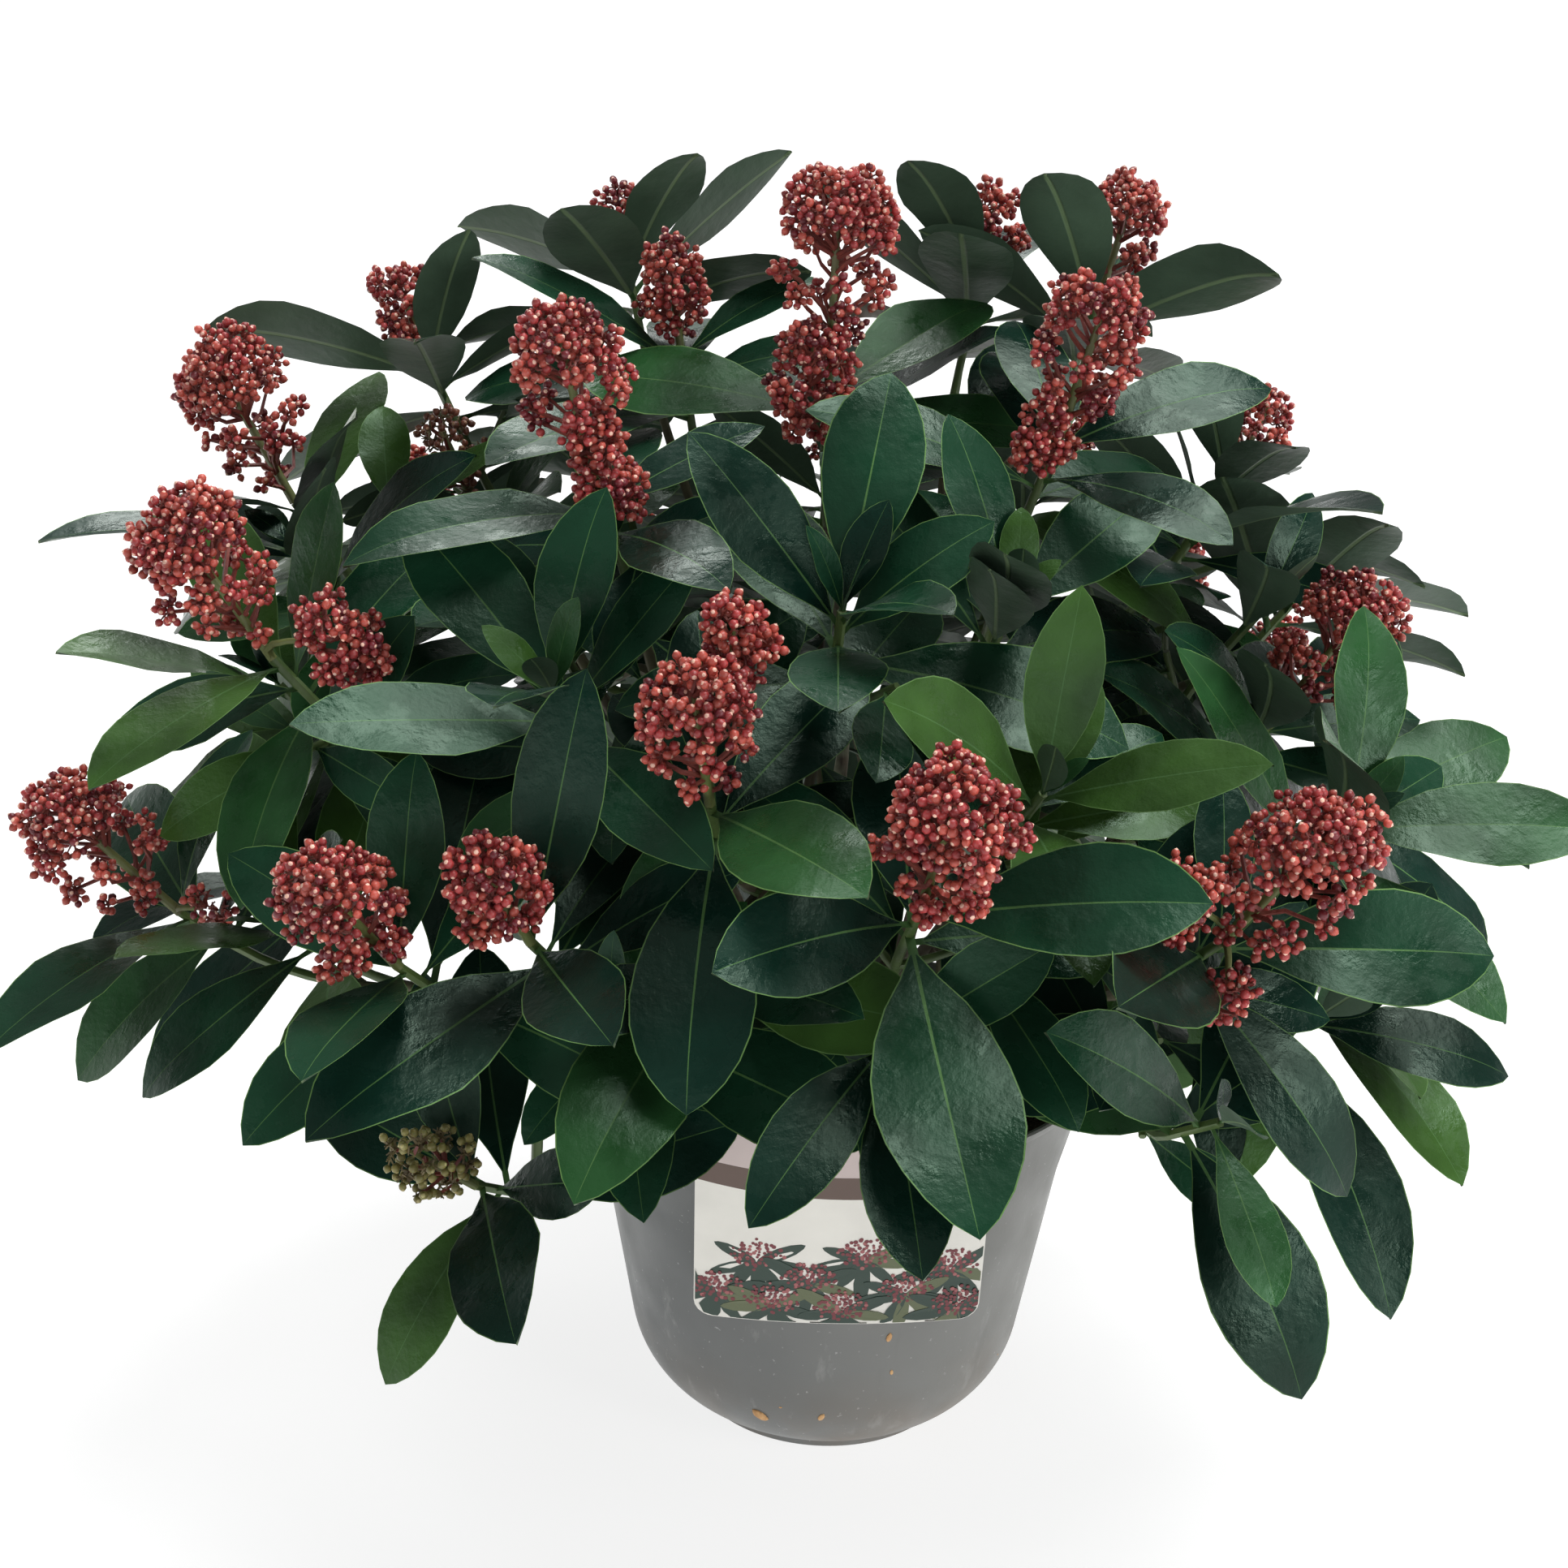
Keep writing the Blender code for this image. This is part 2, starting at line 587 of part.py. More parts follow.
def make_boughs(masses, space, points, widths):
    starts = bough_starts(masses, points, widths)
    tip = points[-1] + Vector((0, 0, GAP))
    starts["top"] = (tip, Vector((0, 0, 1)))
    for number, (name, mass) in enumerate(masses.items()):
        start, plane = starts[name]
        hub = mass["hub"]
        leave = (plane + Vector((0, 0, BOUGH_RISE))).normalized() if name != "top" else plane
        arrive = ((hub - start).normalized() + Vector((0, 0, BOUGH_LIFT))).normalized()
        best = None
        for attempt in range(BOUGH_TRIES):
            draw = random.Random(SEED * 1000 + number * 50 + attempt)
            sway = Vector((draw.uniform(-1, 1), draw.uniform(-1, 1), draw.uniform(-0.6, 1)))
            end = start.lerp(hub, BOUGH_REACH) + sway * BOUGH_SWAY * attempt
            curve = bend(start, leave, end, arrive, BOUGH_STEPS)
            radii = taper(BOUGH_FOOT_RADIUS, BOUGH_TIP_RADIUS, len(curve))
            solid = tube(curve, radii, BOUGH_SIDES, plane, turn=math.pi / BOUGH_SIDES)
            wide = tube(curve, [r + GAP for r in radii], BOUGH_SIDES, plane, turn=math.pi / BOUGH_SIDES)
            best = best or (curve, solid)
            if not space.touched(*wide, skip=("trunk",)):
                best = (curve, solid)
                break
        curve, solid = best
        mass["bough_end"] = curve[-1]
        mass["bough_way"] = (curve[-1] - curve[-2]).normalized()
        add_object("bough_" + name, *solid, "bark", 50)
        space.add(*solid, "bough_" + name)


def place_twigs(masses, space):
    """One stem a mass, from its bough's tip to its furthest shoot. The other shoots branch from it."""
    for number, (name, mass) in enumerate(masses.items()):
        draw = random.Random(SEED * 7 + number)
        start = mass["bough_end"] + mass["bough_way"] * GAP
        shoots = mass["shoots"]
        shoots.sort(key=lambda s: -(s["place"] - start).length)
        stem = None
        for rank, shoot in enumerate(shoots):
            for attempt in range(TWIG_TRIES):
                sway = Vector([draw.uniform(-1, 1) for _ in range(3)]) * TWIG_SWAY * attempt
                if stem is None:
                    root, leave, plane = start, mass["bough_way"], mass["bough_way"]
                    foot = TWIG_FOOT_RADIUS
                else:
                    share = BRANCH_FROM + BRANCH_SPAN * (rank - 1) / (len(shoots) - 1)
                    at = (share + draw.uniform(-0.05, 0.05)) * (len(stem) - 2)
                    root = stem[int(at)].lerp(stem[int(at) + 1], at - int(at))
                    onward = (stem[int(at) + 1] - stem[int(at)]).normalized()
                    leave = (onward + (shoot["foot"] - root).normalized() + sway).normalized()
                    foot, plane = BRANCH_THIN * TWIG_FOOT_RADIUS, None
                path = bend(root, leave, shoot["foot"], shoot["axis"] + 0.4 * sway, TWIG_STEPS)
                path.append(shoot["place"])
                radii = taper(foot, TWIG_TIP_RADIUS, len(path))
                if shoot["flower"]:
                    path.append(shoot["head"])
                    radii.append(0.8 * TWIG_TIP_RADIUS)
                turn = draw.uniform(0, math.tau)
                solid = tube(path, radii, TWIG_SIDES, plane, turn)
                wide = tube(path, [r + 2 * GAP for r in radii], TWIG_SIDES, plane, turn)
                own = {other for other in space.owners if other[0] == name}
                if not space.touched(*wide, skip=own | {"bough_" + name}):
                    break
            else:
                shoot["path"] = None
                continue
            stem = stem or path
            shoot["path"] = path
            shoot["solids"].append(solid)
            space.add(*solid, (name, rank))


def place_flower(name, rank, shoot, centre, width, space):
    """A flower head on the shoot's end, smaller where another shoot is in its way."""
    for shrink in range(FLOWER_TRIES):
        size = width * (1 - FLOWER_SHRINK * shrink)
        solid = flower_head(centre, shoot["flower_axis"], size, random.Random(SEED + rank))
        if not space.touched(*solid, skip=[(name, rank), (name, rank, "flower")]):
            shoot["solids"].append(solid)
            space.add(*solid, (name, rank, "flower"))
            break


def place_side_heads(masses, space):
    """Smaller heads, each on its own stalk from the nearest flowering shoot of its mass."""
    for name, azimuth, reach, height, width in SIDE_HEADS:
        centre = polar(azimuth, reach, height)
        shoots = masses[name]["shoots"]
        rank = min((i for i in range(len(shoots)) if shoots[i]["flower"]),
                   key=lambda i: (shoots[i]["head"] - centre).length)
        shoot = shoots[rank]
        stalk = bend(shoot["place"], shoot["axis"], centre, (centre - shoot["place"]).normalized(), 2)
        radii = taper(0.8 * TWIG_TIP_RADIUS, 0.6 * TWIG_TIP_RADIUS, 3)
        shoot["solids"].append(tube(stalk, radii, TWIG_SIDES))
        place_flower(name, rank, shoot, centre, width, space)


def flower_head(centre, axis, width, draw):
    """Lumpy oval that stands for one head of buds, widest below its middle."""
    turn = axis.to_track_quat("Z", "Y").to_matrix()
    verts = [centre + turn @ Vector((0, 0, -0.5 * FLOWER_TALL * width))]
    for level, rise in enumerate(FLOWER_LEVELS):
        girth = math.sqrt(1 - rise * rise) * (1.0 - FLOWER_POINTED * max(0.0, rise))
        for corner in range(FLOWER_SIDES):
            angle = math.tau * (corner + 0.5 * level) / FLOWER_SIDES
            local = Vector((math.cos(angle) * girth, math.sin(angle) * girth, rise * FLOWER_TALL))
            verts.append(centre + turn @ local * (0.5 * width * draw.uniform(*FLOWER_LUMPS)))
    verts.append(centre + turn @ Vector((0, 0, 0.5 * FLOWER_TALL * width)))
    faces = []
    for corner in range(FLOWER_SIDES):
        after = (corner + 1) % FLOWER_SIDES
        faces.append((0, 1 + after, 1 + corner))
        for ring in (1, 1 + FLOWER_SIDES):
            above = ring + FLOWER_SIDES
            faces.append((ring + corner, ring + after, above + corner))
            faces.append((ring + after, above + after, above + corner))
        top = 1 + 2 * FLOWER_SIDES
        faces.append((top + corner, top + after, len(verts) - 1))
    return verts, faces


def leaf_solid(root, way, face, length, width, thickness, curl):
    """Closed leaf of 12 faces: a folded six-sided blade, thickest in the middle, with a drooping tip."""
    side = face.cross(way).normalized()

    def rib(share):
        angle = curl * share
        ahead = math.sin(angle) / curl
        drop = (1 - math.cos(angle)) / curl
        point = root + (way * ahead - face * drop) * length
        return point, way * math.sin(angle) + face * math.cos(angle)

    verts = [root - way * LEAF_SUNK]
    half = LEAF_SHOULDER * width
    for share in LEAF_SHOULDERS:
        point, up = rib(share)
        verts.append(point + side * half + up * LEAF_FOLD * half)
        verts.append(point - side * half + up * LEAF_FOLD * half)
    verts.append(rib(1.0)[0])
    point, up = rib(LEAF_THICKEST)
    verts.append(point + up * thickness / 2)
    verts.append(point - up * thickness / 2)
    foot, left_1, right_1, left_2, right_2, tip, top, low = range(8)
    edge = [foot, left_1, left_2, tip, right_2, right_1]
    faces = [(top, a, b) for a, b in zip(edge, edge[1:] + edge[:1])]
    faces += [(low, b, a) for a, b in zip(edge, edge[1:] + edge[:1])]
    return verts, faces


def light_at(place):
    """The light falls from above and from the plant's nearer side, front or back."""
    return Vector((LIGHT.x, -LIGHT.y if place.y > FAR_SIDE else LIGHT.y, LIGHT.z))


def lowest_at(place):
    """Leaves stop above the card, so that it stays in sight, but for what hangs at its middle."""
    aside = abs(place.x)
    if place.y > 0 or aside > CARD_SHOWN_HALF:
        return LEAF_LOWEST
    return HANGING_LOW if aside < HANGING_HALF else CARD_SHOWN_LOW


def leaf_fits(room):
    low = min(room[0], key=lambda v: v.z)
    return low.z > lowest_at(low) and max(v.z for v in room[0]) < LEAF_HIGHEST


def place_leaves(masses, space):
    """Whorls of leaves in a spiral under each shoot's end, the lowest first on every shoot."""
    shoots = [(name, rank, shoot) for name, mass in masses.items()
              for rank, shoot in enumerate(mass["shoots"]) if shoot["path"]]
    for number, (name, rank, shoot) in enumerate(shoots):
        shoot["draw"] = random.Random(SEED * 100 + number)
        shoot["count"] = shoot["draw"].choice(LEAVES_IN_WHORL)
        shoot["spin"] = shoot["draw"].uniform(-WHORL_SPIN, WHORL_SPIN) - (shoot["count"] - 1) * GOLDEN_ANGLE
        shoot["side"] = upper_side(shoot["place"], shoot["axis"])
        shoot["blades"] = Space()
    for turn in range(max(LEAVES_IN_WHORL)):
        for name, rank, shoot in shoots:
            if turn >= shoot["count"]:
                continue
            draw, axis = shoot["draw"], shoot["axis"]
            lowest, highest = FLOWER_RISE if shoot["flower"] else LEAFY_RISE
            share = turn / (shoot["count"] - 1)
            root = shoot["place"] - axis * WHORL_SPAN * (1 - share)
            for attempt in range(LEAF_TRIES):
                loose = LEAF_LOOSE + LEAF_LOOSER * attempt
                angle = shoot["spin"] + turn * GOLDEN_ANGLE + draw.uniform(-1, 1) * loose
                rise = math.radians(lowest + (highest - lowest) * share) + draw.uniform(-0.5, 0.5) * loose
                length = shoot["size"] * (LEAF_TAPER[0] + (LEAF_TAPER[1] - LEAF_TAPER[0]) * share)
                length *= draw.uniform(1 - LEAF_UNEVEN, 1 + LEAF_UNEVEN) * (1 - LEAF_SHRINK * attempt)
                spoke = shoot["side"] * math.cos(angle) + axis.cross(shoot["side"]) * math.sin(angle)
                way = spoke * math.cos(rise) + axis * math.sin(rise) + Vector((0, 0, LEAF_LIFT))
                way.normalize()
                face = axis * math.cos(rise) - spoke * math.sin(rise) + LEAF_TO_LIGHT * light_at(root)
                face = (face - way * face.dot(way)).normalized()
                curl = math.radians(draw.uniform(*LEAF_CURL))
                width = length * LEAF_WIDTH * draw.uniform(1 - LEAF_UNEVEN_WIDTH, 1 + LEAF_UNEVEN_WIDTH)
                solid = leaf_solid(root, way, face, length, width, LEAF_THICKNESS, curl)
                room = leaf_solid(root, way, face, length + LEAF_CLEAR, width + 2 * LEAF_CLEAR,
                                  LEAF_THICKNESS + 2 * LEAF_CLEAR, curl)
                if not leaf_fits(room):
                    continue
                blade = leaf_solid(root + way * LEAF_STALK, way, face, length - LEAF_STALK, width,
                                   LEAF_THICKNESS, curl)
                if not space.touched(*room, skip=[(name, rank)]) and not shoot["blades"].touched(*blade):
                    shoot["blades"].add(*blade, turn)
                    shoot["solids"].append(solid)
                    space.add(*solid, (name, rank))
                    break


def upper_side(place, axis):
    """Direction across a shoot that is nearest to straight up, or inwards on an upright shoot."""
    up = Vector((0, 0, 1)) - 1.5 * Vector((place.x, place.y, 0))
    return (up - axis * up.dot(axis)).normalized()


def make_masses(masses):
    for name, mass in masses.items():
        solids = [solid for shoot in mass["shoots"] for solid in shoot["solids"]]
        pieces = []
        for index, (verts, faces) in enumerate(solids):
            label = "foliage_" + name if index == 0 else f"{name}_{index}"
            pieces.append(add_object(label, verts, faces, "leaf"))
        fuse(pieces[0], pieces[1:])


def grow():
    """Shoots with their places and directions, by mass."""
    masses = {}
    for name, rows in all_shoots().items():
        shoots = []
        for azimuth, reach, height, flower, *size in rows:
            head = polar(azimuth, reach, height)
            axis = shoot_axis(head)
            flower_axis = (axis + Vector((0, 0, FLOWER_LIFT))).normalized()
            place = head - flower_axis * (0.5 * FLOWER_TALL * flower + FLOWER_STALK) if flower else head
            shoots.append({"place": place, "axis": axis, "head": head, "flower": flower,
                           "flower_axis": flower_axis, "foot": place - axis * 1.1 * WHORL_SPAN,
                           "size": size[0] if size else LEAF_LENGTH, "solids": []})
        hub = sum(((s["place"] - HUB_BELOW * s["axis"]) for s in shoots), Vector()) / len(shoots)
        masses[name] = {"shoots": shoots, "hub": hub}
    return masses


def main():
    clear_scene()
    make_pot()
    make_compost()
    make_card()
    space = Space()
    for item in list(bpy.data.objects):
        verts = [v.co.copy() for v in item.data.vertices]
        space.add(verts, [tuple(p.vertices) for p in item.data.polygons], item.name)
    points, widths = make_trunk(space)
    masses = grow()
    make_boughs(masses, space, points, widths)
    place_twigs(masses, space)
    for name, mass in masses.items():
        for rank, shoot in enumerate(mass["shoots"]):
            if shoot["path"] and shoot["flower"]:
                place_flower(name, rank, shoot, shoot["head"], shoot["flower"], space)
    place_side_heads(masses, space)
    place_leaves(masses, space)
    make_masses(masses)


main()
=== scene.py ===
"""Looks of a potted skimmia: leaves, stems, heads of buds, bark, pot, compost and card.

Metres, +Z up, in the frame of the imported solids. The viewer's side is -Y.
The shoots and leaves stand where the solids have them, by the same rule.
"""
import math
import random

import bmesh
import bpy
import numpy as np
from mathutils import Matrix, Vector
from mathutils.bvhtree import BVHTree


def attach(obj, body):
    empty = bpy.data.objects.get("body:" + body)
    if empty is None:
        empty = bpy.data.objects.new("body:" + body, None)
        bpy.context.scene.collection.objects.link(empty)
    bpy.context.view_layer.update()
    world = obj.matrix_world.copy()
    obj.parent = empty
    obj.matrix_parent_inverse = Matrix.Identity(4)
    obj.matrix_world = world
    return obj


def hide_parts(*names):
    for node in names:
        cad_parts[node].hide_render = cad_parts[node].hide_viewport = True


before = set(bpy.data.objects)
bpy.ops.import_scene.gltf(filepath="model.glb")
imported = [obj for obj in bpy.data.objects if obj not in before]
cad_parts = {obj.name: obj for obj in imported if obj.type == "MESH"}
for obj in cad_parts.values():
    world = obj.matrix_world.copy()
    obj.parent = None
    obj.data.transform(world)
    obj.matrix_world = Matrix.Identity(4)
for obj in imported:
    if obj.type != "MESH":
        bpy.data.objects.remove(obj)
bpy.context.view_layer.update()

# Pot, compost and card, as the solids have them
GAP = 0.0003
POT_HEIGHT = 0.168
POT_LIP_RADIUS = 0.116
POT_CREASE_HEIGHT = 0.123
POT_CREASE_RADIUS = 0.1035
POT_BASE_RADIUS = 0.082
POT_ROUNDING = 0.050
POT_FOOT_RADIUS = 0.060
POT_WALL = 0.0020
POT_LIP_BAND = 0.0040
POT_LIP_PROUD = 0.0010
POT_SEGMENTS = 128
FOOT_LINE = 0.0050              # height of a moulded line above the pot's floor
ROUNDING_STEPS = 16
COMPOST_LEVEL = 0.150
COMPOST_CRUMBS = 900
CARD_AZIMUTH = -88.5
CARD_LOW = 0.086
CARD_HIGH = 0.206
CARD_HALF_WIDTH = 0.0595
CARD_BOW = 0.270
CARD_THICKNESS = 0.0009
CARD_CORNER = 0.008
HOOK_HALF_WIDTH = 0.010
HOOK_DEPTH = 0.010
HOOK_BEND = 0.0012
HOOK_COLUMNS = 6

# Trunk
TRUNK_FOOT_RADIUS = 0.0165
TRUNK_RADIUS = 0.0115
TRUNK_TIP_RADIUS = 0.0085
TRUNK_HEIGHT = 0.062
TRUNK_LEVELS = (0.0, 0.005, 0.014, 0.030, 0.046)
TRUNK_LEAN = math.radians(4.0)
TRUNK_LEAN_AZIMUTH = math.radians(200.0)
TRUNK_SIDES = 10

# Boughs
BOUGH_FOOT_RADIUS = 0.0044
BOUGH_TIP_RADIUS = 0.0031
BOUGH_SIDES = 5
BOUGH_STEPS = 5
BOUGH_REACH = 0.50
BOUGH_RISE = 0.45
BOUGH_LIFT = 0.25
BOUGH_SWAY = 0.004
BOUGH_TRIES = 12
BOUGH_ROOT_LOW = 0.012
BOUGH_ROOT_RISE = 0.16
SHOOTS_LOW = 0.20
ROOTS_FROM, ROOTS_TO = 0.008, 0.056
ROOTS_APART = 2.25

# Twigs
TWIG_FOOT_RADIUS = 0.0033
TWIG_TIP_RADIUS = 0.0024
TWIG_SIDES = 3
TWIG_STEPS = 3
TWIG_SWAY = 0.12
TWIG_TRIES = 14
BRANCH_FROM, BRANCH_SPAN = 0.25, 0.40
BRANCH_THIN = 0.9
SHOOT_OUTWARD = 0.65

# Leaves
LEAF_LENGTH = 0.102
LEAF_WIDTH = 0.375
LEAF_THICKNESS = 0.0022
LEAF_STALK = 0.014
LEAF_SUNK = 0.0012
LEAF_FOLD = 0.16
LEAF_CLEAR = 0.0007
LEAF_LIFT = 0.24
LEAF_SHOULDERS = (0.34, 0.70)
LEAF_SHOULDER = 0.49
LEAF_THICKEST = 0.46
LEAF_CURL = (8, 36)
LEAF_LOWEST, LEAF_HIGHEST = 0.008, 0.562
CARD_SHOWN_HALF, CARD_SHOWN_LOW = 0.105, 0.200
HANGING_HALF, HANGING_LOW = 0.020, 0.125
LEAF_TAPER = (1.06, 0.90)
LEAF_UNEVEN = 0.15
LEAF_UNEVEN_WIDTH = 0.14
FLOWER_RISE = (-4, 36)
LEAFY_RISE = (2, 50)
LEAVES_IN_WHORL = (6, 7, 7)
LEAF_TRIES = 8
LEAF_LOOSE, LEAF_LOOSER = 0.25, 0.16
LEAF_SHRINK = 0.04
LEAF_TO_LIGHT = 1.3
LIGHT = Vector((-0.05, -0.75, 0.66))
FAR_SIDE = 0.06
WHORL_SPAN = 0.024
WHORL_SPIN = 0.4
HUB_BELOW = 0.055

# Flower heads
FLOWER_TALL = 1.15
FLOWER_SIDES = 6
FLOWER_LEVELS = (-0.62, 0.05, 0.68)
FLOWER_LUMPS = (0.96, 1.16)
FLOWER_POINTED = 0.25
FLOWER_LIFT = 0.25
FLOWER_TRIES = 5
FLOWER_SHRINK = 0.08
FLOWER_STALK = 0.010
GOLDEN_ANGLE = math.radians(137.5)

# Crown
CROWN_CENTRE = Vector((-0.020, 0.0, 0.190))
CROWN_RADIUS = 0.245
CROWN_HEIGHT = 0.300
SEED = 41

# Shoots by mass: azimuth in degrees, reach and height of the flower head's middle or of a leafy shoot's end,
# the width of the flower head (0 for none), and the length of small leaves
SHOOTS = {
    "top": [(-118, 0.023, 0.515, 0.061), (100, 0.055, 0.458, 0), (15, 0.050, 0.444, 0)],
    "top_left": [(153, 0.088, 0.497, 0.037), (134, 0.153, 0.522, 0.029)],
    "top_right": [(35, 0.140, 0.520, 0.050), (59, 0.117, 0.523, 0.034)],
    "left_shoulder": [(-140, 0.141, 0.471, 0.052), (-172, 0.136, 0.387, 0.029), (-130, 0.171, 0.362, 0)],
    "right_shoulder": [(-35, 0.105, 0.485, 0.051), (-57, 0.107, 0.388, 0), (5, 0.148, 0.405, 0)],
    "left_back": [(158, 0.214, 0.483, 0.036), (164, 0.182, 0.423, 0.040), (148, 0.245, 0.390, 0.045)],
    "right_back": [(24, 0.200, 0.439, 0.036), (18, 0.215, 0.365, 0), (30, 0.240, 0.320, 0.045)],
    "left": [(176, 0.258, 0.442, 0.059), (-158, 0.262, 0.398, 0.058), (-178, 0.240, 0.330, 0),
             (179, 0.235, 0.388, 0)],
    "left_low": [(-165, 0.308, 0.283, 0.060), (178, 0.240, 0.240, 0), (-158, 0.240, 0.252, 0)],
    "front_left": [(-133, 0.259, 0.299, 0.049), (-123, 0.227, 0.308, 0.042), (-132, 0.228, 0.193, 0.035),
                   (-122, 0.170, 0.238, 0, 0.050)],
    "front_centre": [(-106, 0.198, 0.367, 0.050), (-93, 0.112, 0.391, 0), (-107, 0.180, 0.275, 0),
                     (-116, 0.195, 0.258, 0)],
    "front": [(-83, 0.222, 0.340, 0.058), (-86, 0.203, 0.262, 0), (-66, 0.165, 0.335, 0),
              (-70, 0.150, 0.252, 0.024, 0.060)],
    "front_right": [(-52, 0.242, 0.322, 0.060), (-53, 0.224, 0.222, 0), (-28, 0.215, 0.310, 0),
                    (-32, 0.215, 0.235, 0)],
    "right": [(-9, 0.200, 0.365, 0.057), (-7, 0.168, 0.374, 0), (3, 0.225, 0.285, 0),
              (-10, 0.215, 0.225, 0)],
}
SIDE_HEADS = [("left", -150, 0.221, 0.376, 0.036), ("front_right", -61, 0.226, 0.315, 0.029),
              ("front_centre", -105, 0.166, 0.394, 0.032), ("top", -119, 0.040, 0.468, 0.040),
              ("left_shoulder", -136, 0.132, 0.437, 0.032), ("right_shoulder", -43, 0.095, 0.453, 0.026)]
BACK_MASSES = ("back_right", "back", "back_left")
BACK_AZIMUTHS = (59.0, 92.0, 125.0)
BACK_ROWS = [(0.225, 0.235, -11.0, 0), (0.255, 0.255, 8.0, 0.050), (0.345, 0.258, -9.0, 0.056),
             (0.330, 0.205, 9.0, 0), (0.430, 0.205, 0.0, 0.052)]   # height, reach, turn, flower head

# Fine detail that only the looks have
FINE_STEPS = 14
WELD = 0.000001                 # a limb's end caps are joined to its side within this
GREEN_STEM = 0.060              # length of young green stem below a shoot's end
STEM_THIN = 0.80                # round stems against the solids' three-sided ones
OLD_LEAVES = (0.034, 0.050, 0.068)      # places of older leaves down the stem from a shoot's end
SIDE_TWIGS = (0.050, 0.078)     # places of short side twigs
SIDE_TWIG_LENGTH = 0.034
SIDE_TWIG_LEAVES = 5
YOUNG_LEAVES = 3
OPEN_MASSES = ("top", "top_left", "top_right", "right_shoulder", "left_low", "front_left")   # where sky shows

LEAF_STATIONS = (0.0, 0.09, 0.18, 0.28, 0.39, 0.50, 0.61, 0.71, 0.80, 0.88, 0.95, 1.0)   # its mesh's rows
LEAF_BASE_SHAPE = 1.00          # how the outline opens from the stalk: 1 is a straight wedge
LEAF_TIP_SHAPE = 0.80           # how it closes at the tip: 0.5 is round, 1 is pointed
LEAF_MARGIN = 0.0042            # these four are shares of the leaf's length
LEAF_RIB = 0.0052
LEAF_BELLY = 0.0110
LEAF_SHEEN = (0.70, 1.0, 0.78)  # the tint of its reflections
UNDERSIDE = (0.078, 0.130, 0.084)
UNDERSIDE_RIB = (0.155, 0.230, 0.120)
STALK_HALF = 0.013
STALK_SHARE = 0.10

BUD_RADIUS = 0.00172
BUD_SPACING = 0.0032
UMBELS, UMBELS_ROUND = 7, 11    # small umbels in a cluster, of so many that would go all round it
UMBEL, UMBEL_ROUND = 6, 9       # buds in an umbel, likewise
CLUSTER_RADIUS = 0.0070
PEDICEL_RADIUS = 0.00036
DOME_CENTRE = 0.17              # shares of a head's width: its dome of clusters
DOME_RADIUS = 0.385
DOME_RIM = -0.35
HEAD_TIERS = ((-0.14, 0.34, 6), (-0.33, 0.27, 4), (-0.50, 0.15, 2))    # height, reach and number below it
GAPS_IN_HEAD = 0.08             # share of the clusters left out
OLD_HEADS = {("front_left", 2): "olive", ("front", 3): "olive", ("left_shoulder", 1): "olive",
             ("left_back", 1): "rusty"}
OLD_BUDS_LEFT = 0.45            # share of its buds that an old head or a stray cluster still holds
LOOSE_WIDTH = 0.022             # clusters under this width are loose too
STRAY_CLUSTERS = (("front_right", -55.5, 0.231, 0.276, 0.021), ("left_low", -162.5, 0.267, 0.256, 0.020))

# Studio: shades of the surroundings by height, from the horizon up, and the lamps
SKY = ((0.0, 1.1), (0.09, 1.1), (0.20, 0.20), (0.60, 0.20), (0.95, 0.38))
SUN_STRENGTH = 3.0
SUN_SPREAD = 40
SUN_AZIMUTH = 10
SUN_RISE = 3.2
SUN_GLOSS = 0.25                # how far the sun shows in glossy surfaces
FLOOR_GLOW = 0.80
SOFT_LIGHTS = (("soft_back", (-0.5, 1.6, 1.9), 1.0, 14.0), ("soft_right", (1.5, -1.2, 0.9), 0.9, 11.0))

# Camera, fitted to the pot's outline. The image is square.
IMAGE_SIDE = 1932
FOCAL_PIXELS = 2565
CAMERA_ELEVATION = 0.29677
CAMERA_ROLL = 0.02758
CAMERA_TARGET = Vector((-0.0254, 0.0, 0.2899))
CAMERA_DISTANCE = 0.90


# Small helpers for modelling by operators
def deselect():
    if bpy.context.object and bpy.context.object.mode != "OBJECT":
        bpy.ops.object.mode_set(mode="OBJECT")
    bpy.ops.object.select_all(action="DESELECT")


def take(piece):
    """Make a piece the only one selected."""
    deselect()
    piece.select_set(True)
    bpy.context.view_layer.objects.active = piece
    return piece


def named(name):
    """The piece just added, with its name."""
    piece = bpy.context.object
    piece.name = name
    piece.data.name = name
    return piece


def pick(piece, test):
    """Select in edit mode the vertices whose place passes the test."""
    if piece.mode != "EDIT":
        take(piece)
        bpy.ops.object.mode_set(mode="EDIT")
    bpy.ops.mesh.select_mode(type="VERT")
    bpy.ops.mesh.select_all(action="DESELECT")
    bm = bmesh.from_edit_mesh(piece.data)
    for vert in bm.verts:
        vert.select = bool(test(vert.co))
    bm.select_flush_mode()
    bmesh.update_edit_mesh(piece.data)


def resize(scale, centre=(0, 0, 0)):
    bpy.ops.transform.resize(value=scale, center_override=centre)


def done(piece):
    bpy.ops.object.mode_set(mode="OBJECT")
    return piece


def apply_all(piece):
    take(piece)
    for change in list(piece.modifiers):
        bpy.ops.object.modifier_apply(modifier=change.name)
    return piece


def finish_piece(piece, slot, *nodes):
    """Rides on the plant's one body and stands for its solids, which it hides. Its slot is not used."""
    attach(piece, "root")
    if nodes:
        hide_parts(*nodes)
    return piece


